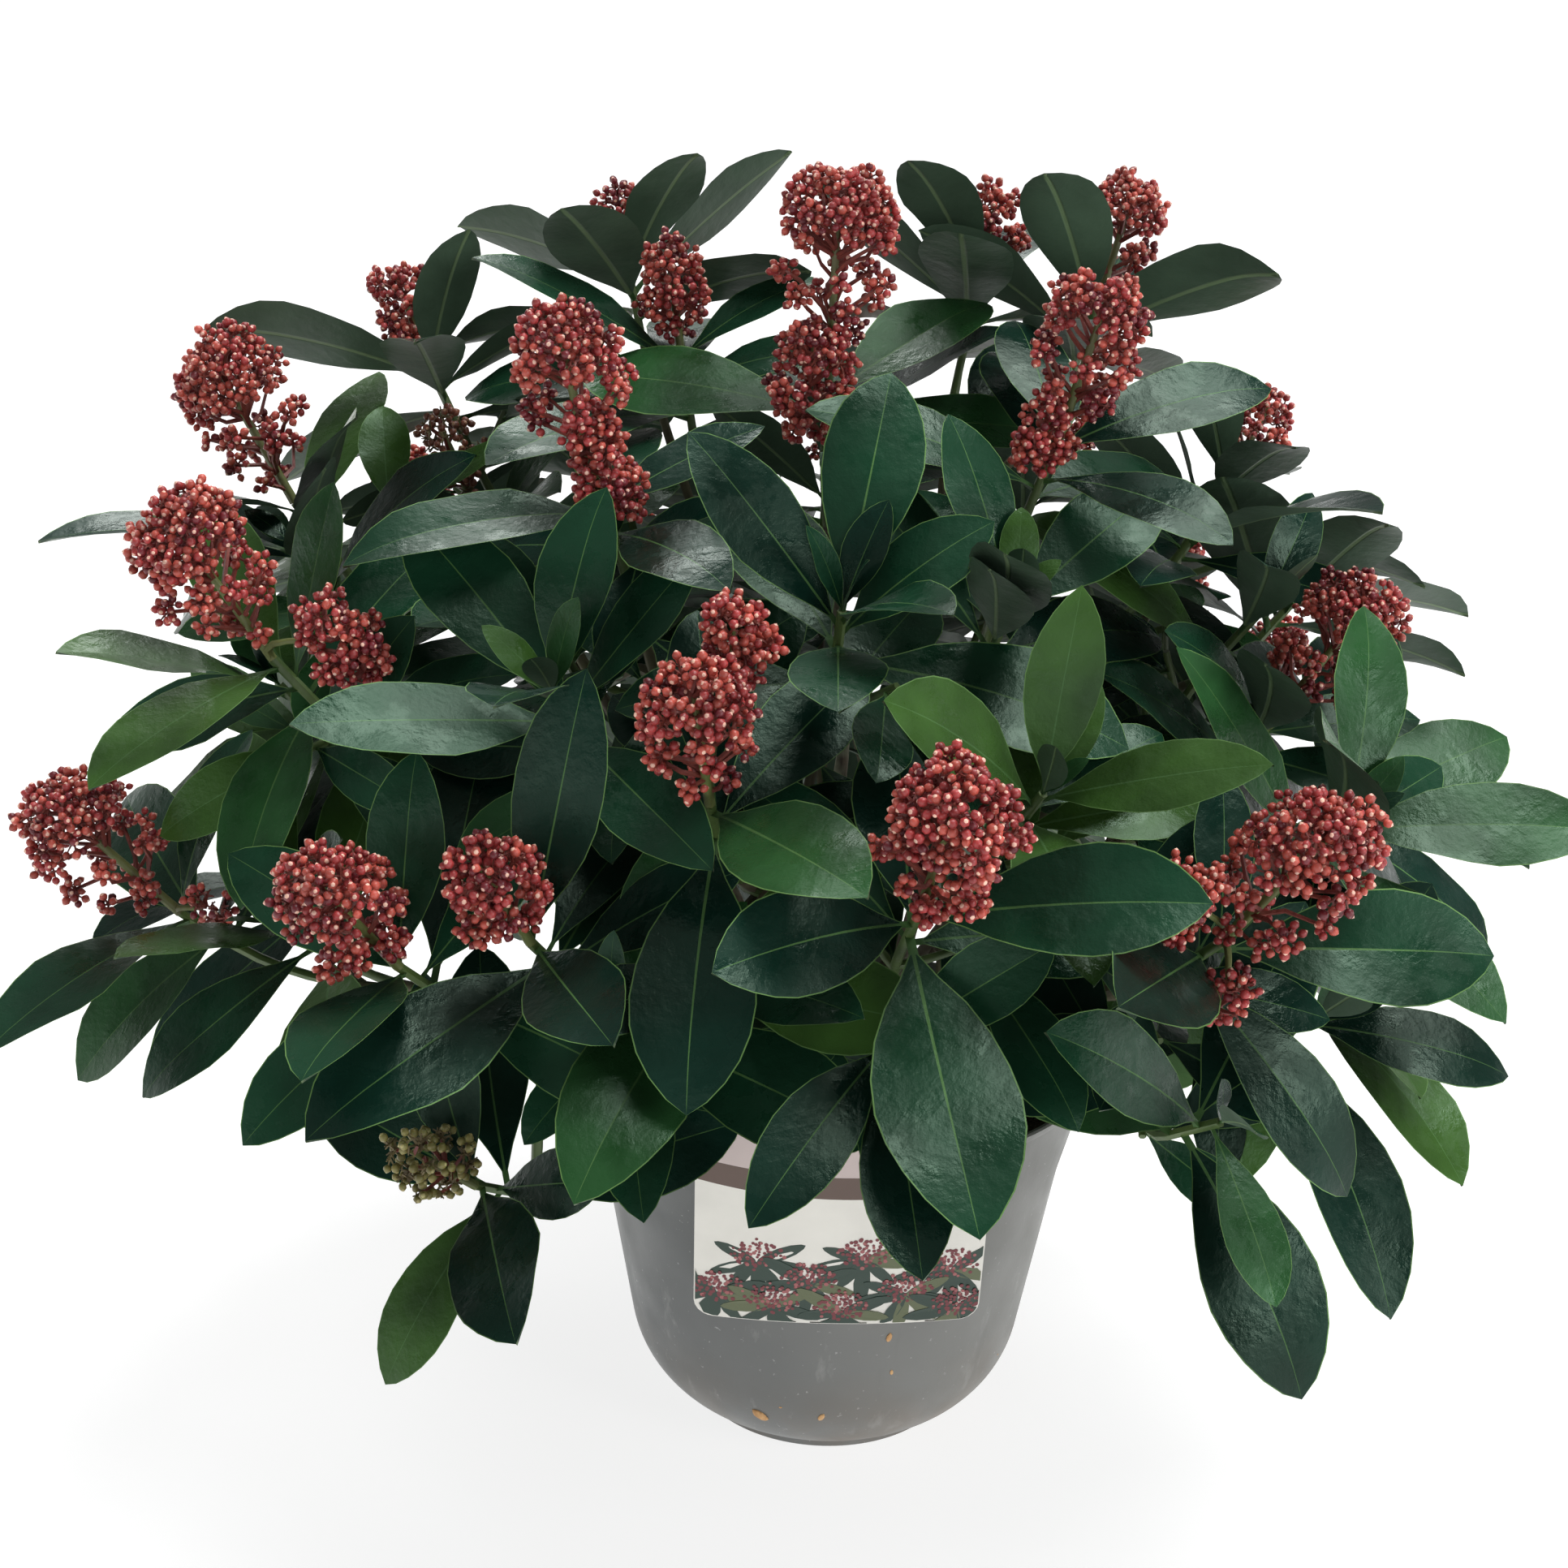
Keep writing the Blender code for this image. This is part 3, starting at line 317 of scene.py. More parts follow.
def lathe(name, profile, segments):
    """Extrude a circle ring by ring along (radius, height) points, and close it where the radius is 0."""
    first, rest = profile[0], profile[1:]
    deselect()
    bpy.ops.mesh.primitive_circle_add(vertices=segments, radius=first[0], fill_type="NOTHING",
                                      location=(0, 0, first[1]))
    piece = named(name)
    bpy.ops.object.transform_apply(location=True, rotation=False, scale=False)
    bpy.ops.object.mode_set(mode="EDIT")
    bpy.ops.mesh.select_all(action="SELECT")
    bpy.ops.mesh.edge_face_add()
    bpy.ops.mesh.inset(thickness=first[0] * 0.9)
    bpy.ops.mesh.merge(type="CENTER")
    bpy.ops.mesh.select_all(action="DESELECT")
    pick(piece, lambda co: co.xy.length > first[0] * 0.5)
    radius, height = first
    for wide, high in rest:
        bpy.ops.mesh.extrude_edges_move(TRANSFORM_OT_translate={"value": (0, 0, high - height)})
        if wide > 0:
            resize((wide / radius, wide / radius, 1))
            radius = wide
        else:
            bpy.ops.mesh.merge(type="CENTER")
        height = high
    bpy.ops.mesh.select_all(action="SELECT")
    bpy.ops.mesh.normals_make_consistent(inside=False)
    return done(piece)


# Materials
def new_material(name, colour, roughness):
    made = bpy.data.materials.new(name)
    made.use_nodes = True
    shader = made.node_tree.nodes["Principled BSDF"]
    shader.inputs["Base Color"].default_value = (*colour, 1.0)
    shader.inputs["Roughness"].default_value = roughness
    made.diffuse_color = (*colour, 1.0)
    return made, made.node_tree, shader


def node(tree, kind, inputs=None, **settings):
    made = tree.nodes.new(kind)
    for key, value in settings.items():
        setattr(made, key, value)
    for key, value in (inputs or {}).items():
        if isinstance(value, bpy.types.NodeSocket):
            tree.links.new(value, made.inputs[key])
        else:
            made.inputs[key].default_value = value
    return made


def noise(tree, scale, detail=3.0, stretch=(1, 1, 1), roughness=0.5):
    """Noise on Object coordinates."""
    place = node(tree, "ShaderNodeTexCoord").outputs["Object"]
    mapped = node(tree, "ShaderNodeMapping", {"Vector": place, "Scale": stretch}).outputs["Vector"]
    return node(tree, "ShaderNodeTexNoise", {"Vector": mapped, "Scale": scale, "Detail": detail,
                                             "Roughness": roughness}).outputs["Fac"]


def ramp(tree, value, low, high, to_low=0.0, to_high=1.0):
    return node(tree, "ShaderNodeMapRange", {"Value": value, "From Min": low, "From Max": high,
                                             "To Min": to_low, "To Max": to_high}).outputs["Result"]


def math_node(tree, operation, a, b=0.0, c=0.0):
    return node(tree, "ShaderNodeMath", {0: a, 1: b, 2: c}, operation=operation).outputs["Value"]


def mix(tree, share, a, b):
    made = node(tree, "ShaderNodeMix", {"Factor": share}, data_type="RGBA")
    for socket, value in ((made.inputs[6], a), (made.inputs[7], b)):
        if isinstance(value, bpy.types.NodeSocket):
            tree.links.new(value, socket)
        else:
            socket.default_value = (*value, 1.0)
    return made.outputs[2]


def bump(tree, shader, height, strength, distance):
    made = node(tree, "ShaderNodeBump", {"Height": height, "Strength": strength, "Distance": distance})
    tree.links.new(made.outputs["Normal"], shader.inputs["Normal"])


def leaf_finish(name, colour, roughness, gloss=0.31):
    """Leathery leaf skin: dull and glossy patches, fine wrinkles, and faint side veins along the leaf's own map."""
    made, tree, shader = new_material(name, colour, roughness)
    shader.inputs["Specular IOR Level"].default_value = gloss
    shader.inputs["Specular Tint"].default_value = (*LEAF_SHEEN, 1.0)
    patches = ramp(tree, noise(tree, 48.0, 5.0, roughness=0.6), 0.50, 0.58)
    tree.links.new(ramp(tree, patches, 0.0, 1.0, roughness + 0.07, roughness - 0.10),
                   shader.inputs["Roughness"])
    lighter = tuple(min(1.0, channel * 1.55) for channel in colour)
    darker = tuple(channel * 0.62 for channel in colour)
    spot = node(tree, "ShaderNodeUVMap", uv_map="leaf").outputs["UV"]
    parts = node(tree, "ShaderNodeSeparateXYZ", {"Vector": spot})
    mottled = math_node(tree, "MULTIPLY_ADD", parts.outputs["Y"], 0.18, noise(tree, 22.0))
    tree.links.new(mix(tree, ramp(tree, mottled, 0.44, 0.74), darker, lighter), shader.inputs["Base Color"])
    across = math_node(tree, "ABSOLUTE", math_node(tree, "SUBTRACT", parts.outputs["X"], 0.5))
    slanted = math_node(tree, "MULTIPLY_ADD", across, -5.0, math_node(tree, "MULTIPLY", parts.outputs["Y"], 12.0))
    veins = math_node(tree, "POWER", math_node(tree, "ABSOLUTE", math_node(
        tree, "SINE", math_node(tree, "MULTIPLY", slanted, math.pi))), 0.5)
    wrinkles = noise(tree, 190.0, 5.0, roughness=0.60)
    relief = math_node(tree, "MULTIPLY_ADD", wrinkles, 1.0, math_node(tree, "MULTIPLY", veins, 0.07))
    bump(tree, shader, relief, 0.42, 0.0011)
    return made


def underside_finish():
    """Dull grey-green back of a leaf, with its raised pale rib drawn along the leaf's own map."""
    made, tree, shader = new_material("leaf_underside", UNDERSIDE, 0.44)
    shader.inputs["Specular IOR Level"].default_value = 0.25
    spot = node(tree, "ShaderNodeUVMap", uv_map="leaf").outputs["UV"]
    parts = node(tree, "ShaderNodeSeparateXYZ", {"Vector": spot})
    across = math_node(tree, "ABSOLUTE", math_node(tree, "SUBTRACT", parts.outputs["X"], 0.5))
    rib = ramp(tree, across, 0.034, 0.016)
    darker = tuple(channel * 0.66 for channel in UNDERSIDE)
    skin = mix(tree, ramp(tree, noise(tree, 30.0, 4.0), 0.35, 0.65), darker, UNDERSIDE)
    tree.links.new(mix(tree, rib, skin, UNDERSIDE_RIB), shader.inputs["Base Color"])
    bump(tree, shader, math_node(tree, "MULTIPLY_ADD", rib, 0.8, noise(tree, 190.0, 4.0)), 0.40, 0.0010)
    return made


def bud_finish(name, colour, roughness=0.38):
    made, tree, shader = new_material(name, colour, roughness)
    shader.inputs["Subsurface Weight"].default_value = 0.12
    shader.inputs["Subsurface Scale"].default_value = 0.0015
    darker = tuple(channel * 0.62 for channel in colour)
    lighter = tuple(min(1.0, channel * 1.25) for channel in colour)
    tree.links.new(mix(tree, ramp(tree, noise(tree, 130.0, 2.0), 0.35, 0.65), darker, lighter),
                   shader.inputs["Base Color"])
    return made


def stem_finish(name, colour, darker, scale, roughness=0.55):
    made, tree, shader = new_material(name, colour, roughness)
    patches = ramp(tree, noise(tree, scale, 4.0, (1, 1, 0.4)), 0.35, 0.65)
    tree.links.new(mix(tree, patches, darker, colour), shader.inputs["Base Color"])
    bump(tree, shader, noise(tree, scale * 5, 4.0, (1, 1, 0.3)), 0.5, 0.0008)
    return made


def bark_finish():
    made, tree, shader = new_material("old_bark", (0.13, 0.105, 0.070), 0.85)
    ridges = noise(tree, 160.0, 6.0, (1, 1, 0.25), 0.6)
    lichen = ramp(tree, noise(tree, 45.0, 3.0), 0.55, 0.66)
    base = mix(tree, ramp(tree, ridges, 0.35, 0.65), (0.055, 0.042, 0.030), (0.20, 0.165, 0.115))
    tree.links.new(mix(tree, lichen, base, (0.22, 0.24, 0.16)), shader.inputs["Base Color"])
    bump(tree, shader, ridges, 0.8, 0.0016)
    return made


def pot_finish():
    """Grey moulded plastic with dust, pale scuffs and a brown bloom near the ground, with painted light: lighter and
    warmer towards its right side.
    """
    made, tree, shader = new_material("grey_plastic", (0.180, 0.185, 0.180), 0.48)
    place = node(tree, "ShaderNodeTexCoord").outputs["Object"]
    spot = node(tree, "ShaderNodeSeparateXYZ", {"Vector": place})
    # right rises towards +X and carries the painted light on the pot's right side
    height, right = spot.outputs["Z"], ramp(tree, spot.outputs["X"], -0.070, 0.090)
    clouds = ramp(tree, noise(tree, 9.0, 5.0), 0.32, 0.68)
    base = mix(tree, clouds, (0.116, 0.124, 0.124), (0.170, 0.175, 0.170))
    # painted light: the plastic turns lighter and warmer towards +X, as if a lamp lit the pot from the right
    base = mix(tree, math_node(tree, "MULTIPLY", right, 0.48), base, (0.262, 0.256, 0.234))
    scuffs = ramp(tree, noise(tree, 70.0, 6.0, (1.0, 1.0, 0.35), 0.65), 0.60, 0.74)
    base = mix(tree, math_node(tree, "MULTIPLY", scuffs, 0.55), base, (0.34, 0.345, 0.330))
    streaks = ramp(tree, noise(tree, 55.0, 4.0, (1.0, 1.0, 0.08), 0.6), 0.56, 0.72)
    base = mix(tree, math_node(tree, "MULTIPLY", streaks, 0.30), base, (0.115, 0.115, 0.108))
    specks = ramp(tree, noise(tree, 420.0, 2.0), 0.70, 0.76)
    base = mix(tree, math_node(tree, "MULTIPLY", specks, 0.5), base, (0.50, 0.50, 0.49))
    low = ramp(tree, height, 0.060, 0.004)
    bloom = math_node(tree, "MULTIPLY", low, ramp(tree, noise(tree, 26.0, 5.0), 0.38, 0.64))
    bloom = math_node(tree, "MULTIPLY", bloom, ramp(tree, right, 0.0, 1.0, 0.45, 1.0))
    base = mix(tree, math_node(tree, "MULTIPLY", bloom, 0.75), base, (0.160, 0.110, 0.066))
    tree.links.new(base, shader.inputs["Base Color"])
    tree.links.new(ramp(tree, noise(tree, 40.0, 5.0), 0.3, 0.7, 0.36, 0.58), shader.inputs["Roughness"])
    bump(tree, shader, noise(tree, 900.0, 3.0), 0.12, 0.0004)
    return made


def print_finish(name, colour):
    """Printed plastic with a slight grain and a soft gloss."""
    made, tree, shader = new_material(name, colour, 0.33)
    faded = tuple(channel * 0.93 for channel in colour)
    tree.links.new(mix(tree, ramp(tree, noise(tree, 60.0, 4.0), 0.3, 0.7), faded, colour),
                   shader.inputs["Base Color"])
    bump(tree, shader, noise(tree, 1400.0, 2.0), 0.06, 0.0003)
    return made


def compost_finish():
    made, tree, shader = new_material("dark_compost", (0.030, 0.020, 0.013), 0.95)
    tree.links.new(mix(tree, ramp(tree, noise(tree, 240.0, 6.0, roughness=0.7), 0.35, 0.68),
                       (0.012, 0.008, 0.006), (0.075, 0.048, 0.030)), shader.inputs["Base Color"])
    bump(tree, shader, noise(tree, 500.0, 6.0), 1.0, 0.0025)
    return made


# The rule by which the plant grows, as the solids have it
class Space:
    """What has been placed so far, for keeping new pieces clear of it."""

    def __init__(self):
        self.low = []
        self.high = []
        self.trees = []
        self.owners = []

    def add(self, verts, faces, owner):
        cloud = np.array([tuple(v) for v in verts])
        self.low.append(cloud.min(axis=0))
        self.high.append(cloud.max(axis=0))
        self.trees.append(BVHTree.FromPolygons([tuple(v) for v in verts], faces))
        self.owners.append(owner)

    def touched(self, verts, faces, skip=()):
        """Owners of the placed pieces that a new piece would touch."""
        if not self.trees:
            return set()
        cloud = np.array([tuple(v) for v in verts])
        low, high = cloud.min(axis=0), cloud.max(axis=0)
        near = np.all(np.array(self.low) <= high, axis=1) & np.all(np.array(self.high) >= low, axis=1)
        tree = None
        found = set()
        for index in np.flatnonzero(near):
            owner = self.owners[index]
            if owner in skip or owner in found:
                continue
            tree = tree or BVHTree.FromPolygons([tuple(v) for v in verts], faces)
            if tree.overlap(self.trees[index]):
                found.add(owner)
        return found


def polar(azimuth, reach, height):
    angle = math.radians(azimuth)
    return Vector((reach * math.cos(angle), reach * math.sin(angle), height))


def shoot_axis(place):
    """A shoot points out from the crown's oval and bends up to the light."""
    off = place - CROWN_CENTRE
    wide, tall = CROWN_RADIUS ** 2, CROWN_HEIGHT ** 2
    outward = Vector((off.x / wide, off.y / wide, off.z / tall)).normalized()
    return (SHOOT_OUTWARD * outward + Vector((0, 0, 1 - SHOOT_OUTWARD))).normalized()


def all_shoots():
    masses = {name: list(rows) for name, rows in SHOOTS.items()}
    for name, azimuth in zip(BACK_MASSES, BACK_AZIMUTHS):
        masses[name] = [(azimuth + turn, reach, height, flower)
                        for height, reach, turn, flower in BACK_ROWS]
    return masses


def tube(points, radii, sides, first_plane=None, turn=0.0):
    """Tapering limb along the points. The first end may be cut along a given plane."""
    verts, faces = [], []
    side = None
    for index, point in enumerate(points):
        ahead = points[min(index + 1, len(points) - 1)]
        behind = points[max(index - 1, 0)]
        along = (ahead - behind).normalized()
        if side is None:
            side = along.orthogonal().normalized()
        side = (side - along * side.dot(along)).normalized()
        up = along.cross(side)
        for corner in range(sides):
            angle = turn + math.tau * corner / sides
            spoke = (side * math.cos(angle) + up * math.sin(angle)) * radii[index]
            if index == 0 and first_plane is not None:
                spoke -= along * (spoke.dot(first_plane) / along.dot(first_plane))
            verts.append(point + spoke)
    last = (len(points) - 1) * sides
    for ring in range(len(points) - 1):
        for corner in range(sides):
            a = ring * sides + corner
            b = ring * sides + (corner + 1) % sides
            faces.append((a, b, b + sides, a + sides))
    faces.append(tuple(reversed(range(sides))))
    faces.append(tuple(range(last, last + sides)))
    return verts, faces


def bend(start, leave, end, arrive, steps):
    """Smooth curve from start to end, which leaves and arrives along the given directions."""
    reach = (end - start).length / 3
    first = start + leave * reach
    second = end - arrive * reach
    points = []
    for step in range(steps + 1):
        t = step / steps
        points.append(start * (1 - t) ** 3 + first * (3 * t * (1 - t) ** 2)
                      + second * (3 * t * t * (1 - t)) + end * t ** 3)
    return points


def taper(first, last, count):
    return [first + (last - first) * index / (count - 1) for index in range(count)]


def trunk_line():
    """Middle points and radii of the trunk."""
    foot = Vector((0, 0, COMPOST_LEVEL + GAP))
    lean = Vector((math.cos(TRUNK_LEAN_AZIMUTH), math.sin(TRUNK_LEAN_AZIMUTH), 0)) * math.tan(TRUNK_LEAN)
    heights = [*TRUNK_LEVELS, TRUNK_HEIGHT]
    widths = [TRUNK_FOOT_RADIUS, 0.5 * (TRUNK_FOOT_RADIUS + TRUNK_RADIUS), TRUNK_RADIUS,
              0.96 * TRUNK_RADIUS, 0.5 * (TRUNK_RADIUS + TRUNK_TIP_RADIUS), TRUNK_TIP_RADIUS]
    return [foot + Vector((0, 0, h)) + lean * h for h in heights], widths


def trunk_solid(points, widths):
    verts, faces = [], []
    for point, width in zip(points, widths):
        for corner in range(TRUNK_SIDES):
            angle = math.tau * corner / TRUNK_SIDES
            verts.append(point + Vector((math.cos(angle), math.sin(angle), 0)) * width)
    for ring in range(len(points) - 1):
        for corner in range(TRUNK_SIDES):
            a = ring * TRUNK_SIDES + corner
            b = ring * TRUNK_SIDES + (corner + 1) % TRUNK_SIDES
            faces.append((a, b, b + TRUNK_SIDES, a + TRUNK_SIDES))
    faces.append(tuple(reversed(range(TRUNK_SIDES))))
    last = (len(points) - 1) * TRUNK_SIDES
    faces.append(tuple(range(last, last + TRUNK_SIDES)))
    return verts, faces


def trunk_at(points, widths, height):
    for (low, wide), (high, thin) in zip(zip(points, widths), zip(points[1:], widths[1:])):
        if height <= high.z - points[0].z:
            share = (height - (low.z - points[0].z)) / (high.z - low.z)
            return low.lerp(high, share), wide + (thin - wide) * share
    return points[-1], widths[-1]


def bough_starts(masses, points, widths):
    taken = []
    starts = {}
    order = sorted((name for name in masses if name != "top"), key=lambda n: masses[n]["hub"].z)
    for name in order:
        hub = masses[name]["hub"]
        outward = Vector((hub.x, hub.y, 0)).normalized()
        angle = math.atan2(outward.y, outward.x)
        facet = math.tau / TRUNK_SIDES
        support = max(math.cos(angle - facet * corner) for corner in range(TRUNK_SIDES))
        wanted = BOUGH_ROOT_LOW + BOUGH_ROOT_RISE * (hub.z - SHOOTS_LOW)
        for nudge in sorted(np.arange(-0.040, 0.041, 0.002), key=abs):
            height = wanted + nudge
            if not ROOTS_FROM <= height <= ROOTS_TO:
                continue
            spread = BOUGH_FOOT_RADIUS * 1.25
            reach = 0.0
            for step in (-spread, 0.0, spread):
                centre, width = trunk_at(points, widths, height + step)
                reach = max(reach, centre.dot(outward) + width * support)
            centre, _ = trunk_at(points, widths, height)
            across = Vector((-outward.y, outward.x, 0))
            place = outward * (reach + GAP) + across * centre.dot(across) + Vector((0, 0, centre.z))
            if all((place - other).length > ROOTS_APART * BOUGH_FOOT_RADIUS for other in taken):
                taken.append(place)
                starts[name] = (place, outward)
                break
    return starts


def place_boughs(masses, space, points, widths):
    starts = bough_starts(masses, points, widths)
    tip = points[-1] + Vector((0, 0, GAP))
    starts["top"] = (tip, Vector((0, 0, 1)))
    for number, (name, mass) in enumerate(masses.items()):
        start, plane = starts[name]
        hub = mass["hub"]
        leave = (plane + Vector((0, 0, BOUGH_RISE))).normalized() if name != "top" else plane
        arrive = ((hub - start).normalized() + Vector((0, 0, BOUGH_LIFT))).normalized()
        best = None
        for attempt in range(BOUGH_TRIES):
            draw = random.Random(SEED * 1000 + number * 50 + attempt)
            sway = Vector((draw.uniform(-1, 1), draw.uniform(-1, 1), draw.uniform(-0.6, 1)))
            end = start.lerp(hub, BOUGH_REACH) + sway * BOUGH_SWAY * attempt
            curve = bend(start, leave, end, arrive, BOUGH_STEPS)
            radii = taper(BOUGH_FOOT_RADIUS, BOUGH_TIP_RADIUS, len(curve))
            solid = tube(curve, radii, BOUGH_SIDES, plane, turn=math.pi / BOUGH_SIDES)
            wide = tube(curve, [r + GAP for r in radii], BOUGH_SIDES, plane, turn=math.pi / BOUGH_SIDES)
            fine = bend(start - leave * 0.003, leave, end, arrive, FINE_STEPS)
            best = best or (curve, solid, fine)
            if not space.touched(*wide, skip=("trunk",)):
                best = (curve, solid, fine)
                break
        curve, solid, fine = best
        mass["bough"] = fine
        mass["bough_end"] = curve[-1]
        mass["bough_way"] = (curve[-1] - curve[-2]).normalized()
        space.add(*solid, "bough_" + name)


def place_twigs(masses, space):
    """One stem a mass, from its bough's tip to its furthest shoot. The other shoots branch from it."""
    for number, (name, mass) in enumerate(masses.items()):
        draw = random.Random(SEED * 7 + number)
        start = mass["bough_end"] + mass["bough_way"] * GAP
        shoots = mass["shoots"]
        shoots.sort(key=lambda s: -(s["place"] - start).length)
        stem = None
        for rank, shoot in enumerate(shoots):
            for attempt in range(TWIG_TRIES):
                sway = Vector([draw.uniform(-1, 1) for _ in range(3)]) * TWIG_SWAY * attempt
                if stem is None:
                    root, leave, plane = start, mass["bough_way"], mass["bough_way"]
                    foot = TWIG_FOOT_RADIUS
                else:
                    share = BRANCH_FROM + BRANCH_SPAN * (rank - 1) / (len(shoots) - 1)
                    at = (share + draw.uniform(-0.05, 0.05)) * (len(stem) - 2)
                    root = stem[int(at)].lerp(stem[int(at) + 1], at - int(at))
                    onward = (stem[int(at) + 1] - stem[int(at)]).normalized()
                    leave = (onward + (shoot["foot"] - root).normalized() + sway).normalized()
                    foot, plane = BRANCH_THIN * TWIG_FOOT_RADIUS, None
                arrive = shoot["axis"] + 0.4 * sway
                path = bend(root, leave, shoot["foot"], arrive, TWIG_STEPS)
                fine = bend(root, leave, shoot["foot"], arrive, FINE_STEPS) + [shoot["place"]]
                path.append(shoot["place"])
                radii = taper(foot, TWIG_TIP_RADIUS, len(path))
                if shoot["flower"]:
                    path.append(shoot["head"])
                    radii.append(0.8 * TWIG_TIP_RADIUS)
                turn = draw.uniform(0, math.tau)
                solid = tube(path, radii, TWIG_SIDES, plane, turn)
                wide = tube(path, [r + 2 * GAP for r in radii], TWIG_SIDES, plane, turn)
                own = {other for other in space.owners if other[0] == name}
                if not space.touched(*wide, skip=own | {"bough_" + name}):
                    break
            else:
                shoot["path"] = None
                continue
            stem = stem or path
            shoot["path"] = path
            shoot["fine"] = fine
            shoot["thick"] = foot
            space.add(*solid, (name, rank))


def head_solid(centre, axis, width, draw):
    """Lumpy oval that holds the space of one head of buds."""
    turn = axis.to_track_quat("Z", "Y").to_matrix()
    verts = [centre + turn @ Vector((0, 0, -0.5 * FLOWER_TALL * width))]
    for level, rise in enumerate(FLOWER_LEVELS):
        girth = math.sqrt(1 - rise * rise) * (1.0 - FLOWER_POINTED * max(0.0, rise))
        for corner in range(FLOWER_SIDES):
            angle = math.tau * (corner + 0.5 * level) / FLOWER_SIDES
            local = Vector((math.cos(angle) * girth, math.sin(angle) * girth, rise * FLOWER_TALL))
            verts.append(centre + turn @ local * (0.5 * width * draw.uniform(*FLOWER_LUMPS)))
    verts.append(centre + turn @ Vector((0, 0, 0.5 * FLOWER_TALL * width)))
    faces = []
    for corner in range(FLOWER_SIDES):
        after = (corner + 1) % FLOWER_SIDES
        faces.append((0, 1 + after, 1 + corner))
        for ring in (1, 1 + FLOWER_SIDES):
            above = ring + FLOWER_SIDES
            faces.append((ring + corner, ring + after, above + corner))
            faces.append((ring + after, above + after, above + corner))
        top = 1 + 2 * FLOWER_SIDES
        faces.append((top + corner, top + after, len(verts) - 1))
    return verts, faces


def place_head(name, rank, shoot, centre, width, space, stalk):
    """A flower head on the shoot's end, smaller where another shoot is in its way."""
    for shrink in range(FLOWER_TRIES):
        size = width * (1 - FLOWER_SHRINK * shrink)
        solid = head_solid(centre, shoot["flower_axis"], size, random.Random(SEED + rank))
        if not space.touched(*solid, skip=[(name, rank), (name, rank, "flower")]):
            shoot["heads"].append((centre, size, stalk))
            space.add(*solid, (name, rank, "flower"))
            break


def place_side_heads(masses, space):
    for name, azimuth, reach, height, width in SIDE_HEADS:
        centre = polar(azimuth, reach, height)
        shoots = masses[name]["shoots"]
        rank = min((i for i in range(len(shoots)) if shoots[i]["flower"]),
                   key=lambda i: (shoots[i]["head"] - centre).length)
        shoot = shoots[rank]
        stalk = bend(shoot["place"], shoot["axis"], centre, (centre - shoot["place"]).normalized(), 6)
        place_head(name, rank, shoot, centre, width, space, stalk)


def leaf_solid(root, way, face, length, width, thickness, curl):
    """Closed leaf of 12 faces, which holds the space of one leaf."""
    side = face.cross(way).normalized()

    def rib(share):
        angle = curl * share
        ahead = math.sin(angle) / curl
        drop = (1 - math.cos(angle)) / curl
        point = root + (way * ahead - face * drop) * length
        return point, way * math.sin(angle) + face * math.cos(angle)

    verts = [root - way * LEAF_SUNK]
    half = LEAF_SHOULDER * width
    for share in LEAF_SHOULDERS:
        point, up = rib(share)
        verts.append(point + side * half + up * LEAF_FOLD * half)
        verts.append(point - side * half + up * LEAF_FOLD * half)
    verts.append(rib(1.0)[0])
    point, up = rib(LEAF_THICKEST)
    verts.append(point + up * thickness / 2)
    verts.append(point - up * thickness / 2)
    foot, left_1, right_1, left_2, right_2, tip, top, low = range(8)
    edge = [foot, left_1, left_2, tip, right_2, right_1]
    faces = [(top, a, b) for a, b in zip(edge, edge[1:] + edge[:1])]
    faces += [(low, b, a) for a, b in zip(edge, edge[1:] + edge[:1])]
    return verts, faces


def light_at(place):
    """The light falls from above and from the plant's nearer side, front or back."""
    return Vector((LIGHT.x, -LIGHT.y if place.y > FAR_SIDE else LIGHT.y, LIGHT.z))


def lowest_at(place):
    """Leaves stop above the card, so that it stays in sight, but for what hangs at its middle."""
    aside = abs(place.x)
    if place.y > 0 or aside > CARD_SHOWN_HALF:
        return LEAF_LOWEST
    return HANGING_LOW if aside < HANGING_HALF else CARD_SHOWN_LOW


def leaf_fits(room):
    low = min(room[0], key=lambda v: v.z)
    return low.z > lowest_at(low) and max(v.z for v in room[0]) < LEAF_HIGHEST


def grow_leaf(shoot, space, root, angle, rise, length, owner, tries=LEAF_TRIES):
    """Adds one leaf where it fits, turning and shrinking a little more at each try."""
    draw, axis = shoot["draw"], shoot["axis"]
    for attempt in range(tries):
        loose = LEAF_LOOSE + LEAF_LOOSER * attempt
        turned = angle + draw.uniform(-1, 1) * loose
        lifted = rise + draw.uniform(-0.5, 0.5) * loose
        long = length * draw.uniform(1 - LEAF_UNEVEN, 1 + LEAF_UNEVEN) * (1 - LEAF_SHRINK * attempt)
        spoke = shoot["side"] * math.cos(turned) + axis.cross(shoot["side"]) * math.sin(turned)
        way = spoke * math.cos(lifted) + axis * math.sin(lifted) + Vector((0, 0, LEAF_LIFT))
        way.normalize()
        face = axis * math.cos(lifted) - spoke * math.sin(lifted) + LEAF_TO_LIGHT * light_at(root)
        face = (face - way * face.dot(way)).normalized()
        curl = math.radians(draw.uniform(*LEAF_CURL))
        width = long * LEAF_WIDTH * draw.uniform(1 - LEAF_UNEVEN_WIDTH, 1 + LEAF_UNEVEN_WIDTH)
        solid = leaf_solid(root, way, face, long, width, LEAF_THICKNESS, curl)
        room = leaf_solid(root, way, face, long + LEAF_CLEAR, width + 2 * LEAF_CLEAR,
                          LEAF_THICKNESS + 2 * LEAF_CLEAR, curl)
        if not leaf_fits(room):
            continue
        blade = leaf_solid(root + way * LEAF_STALK, way, face, long - LEAF_STALK, width,
                           LEAF_THICKNESS, curl)
        if not space.touched(*room, skip=[owner]) and not shoot["blades"].touched(*blade):
            shoot["blades"].add(*blade, 0)
            shoot["leaves"].append((root, way, face, long, width, curl))
            space.add(*solid, owner)
            return True
    return False


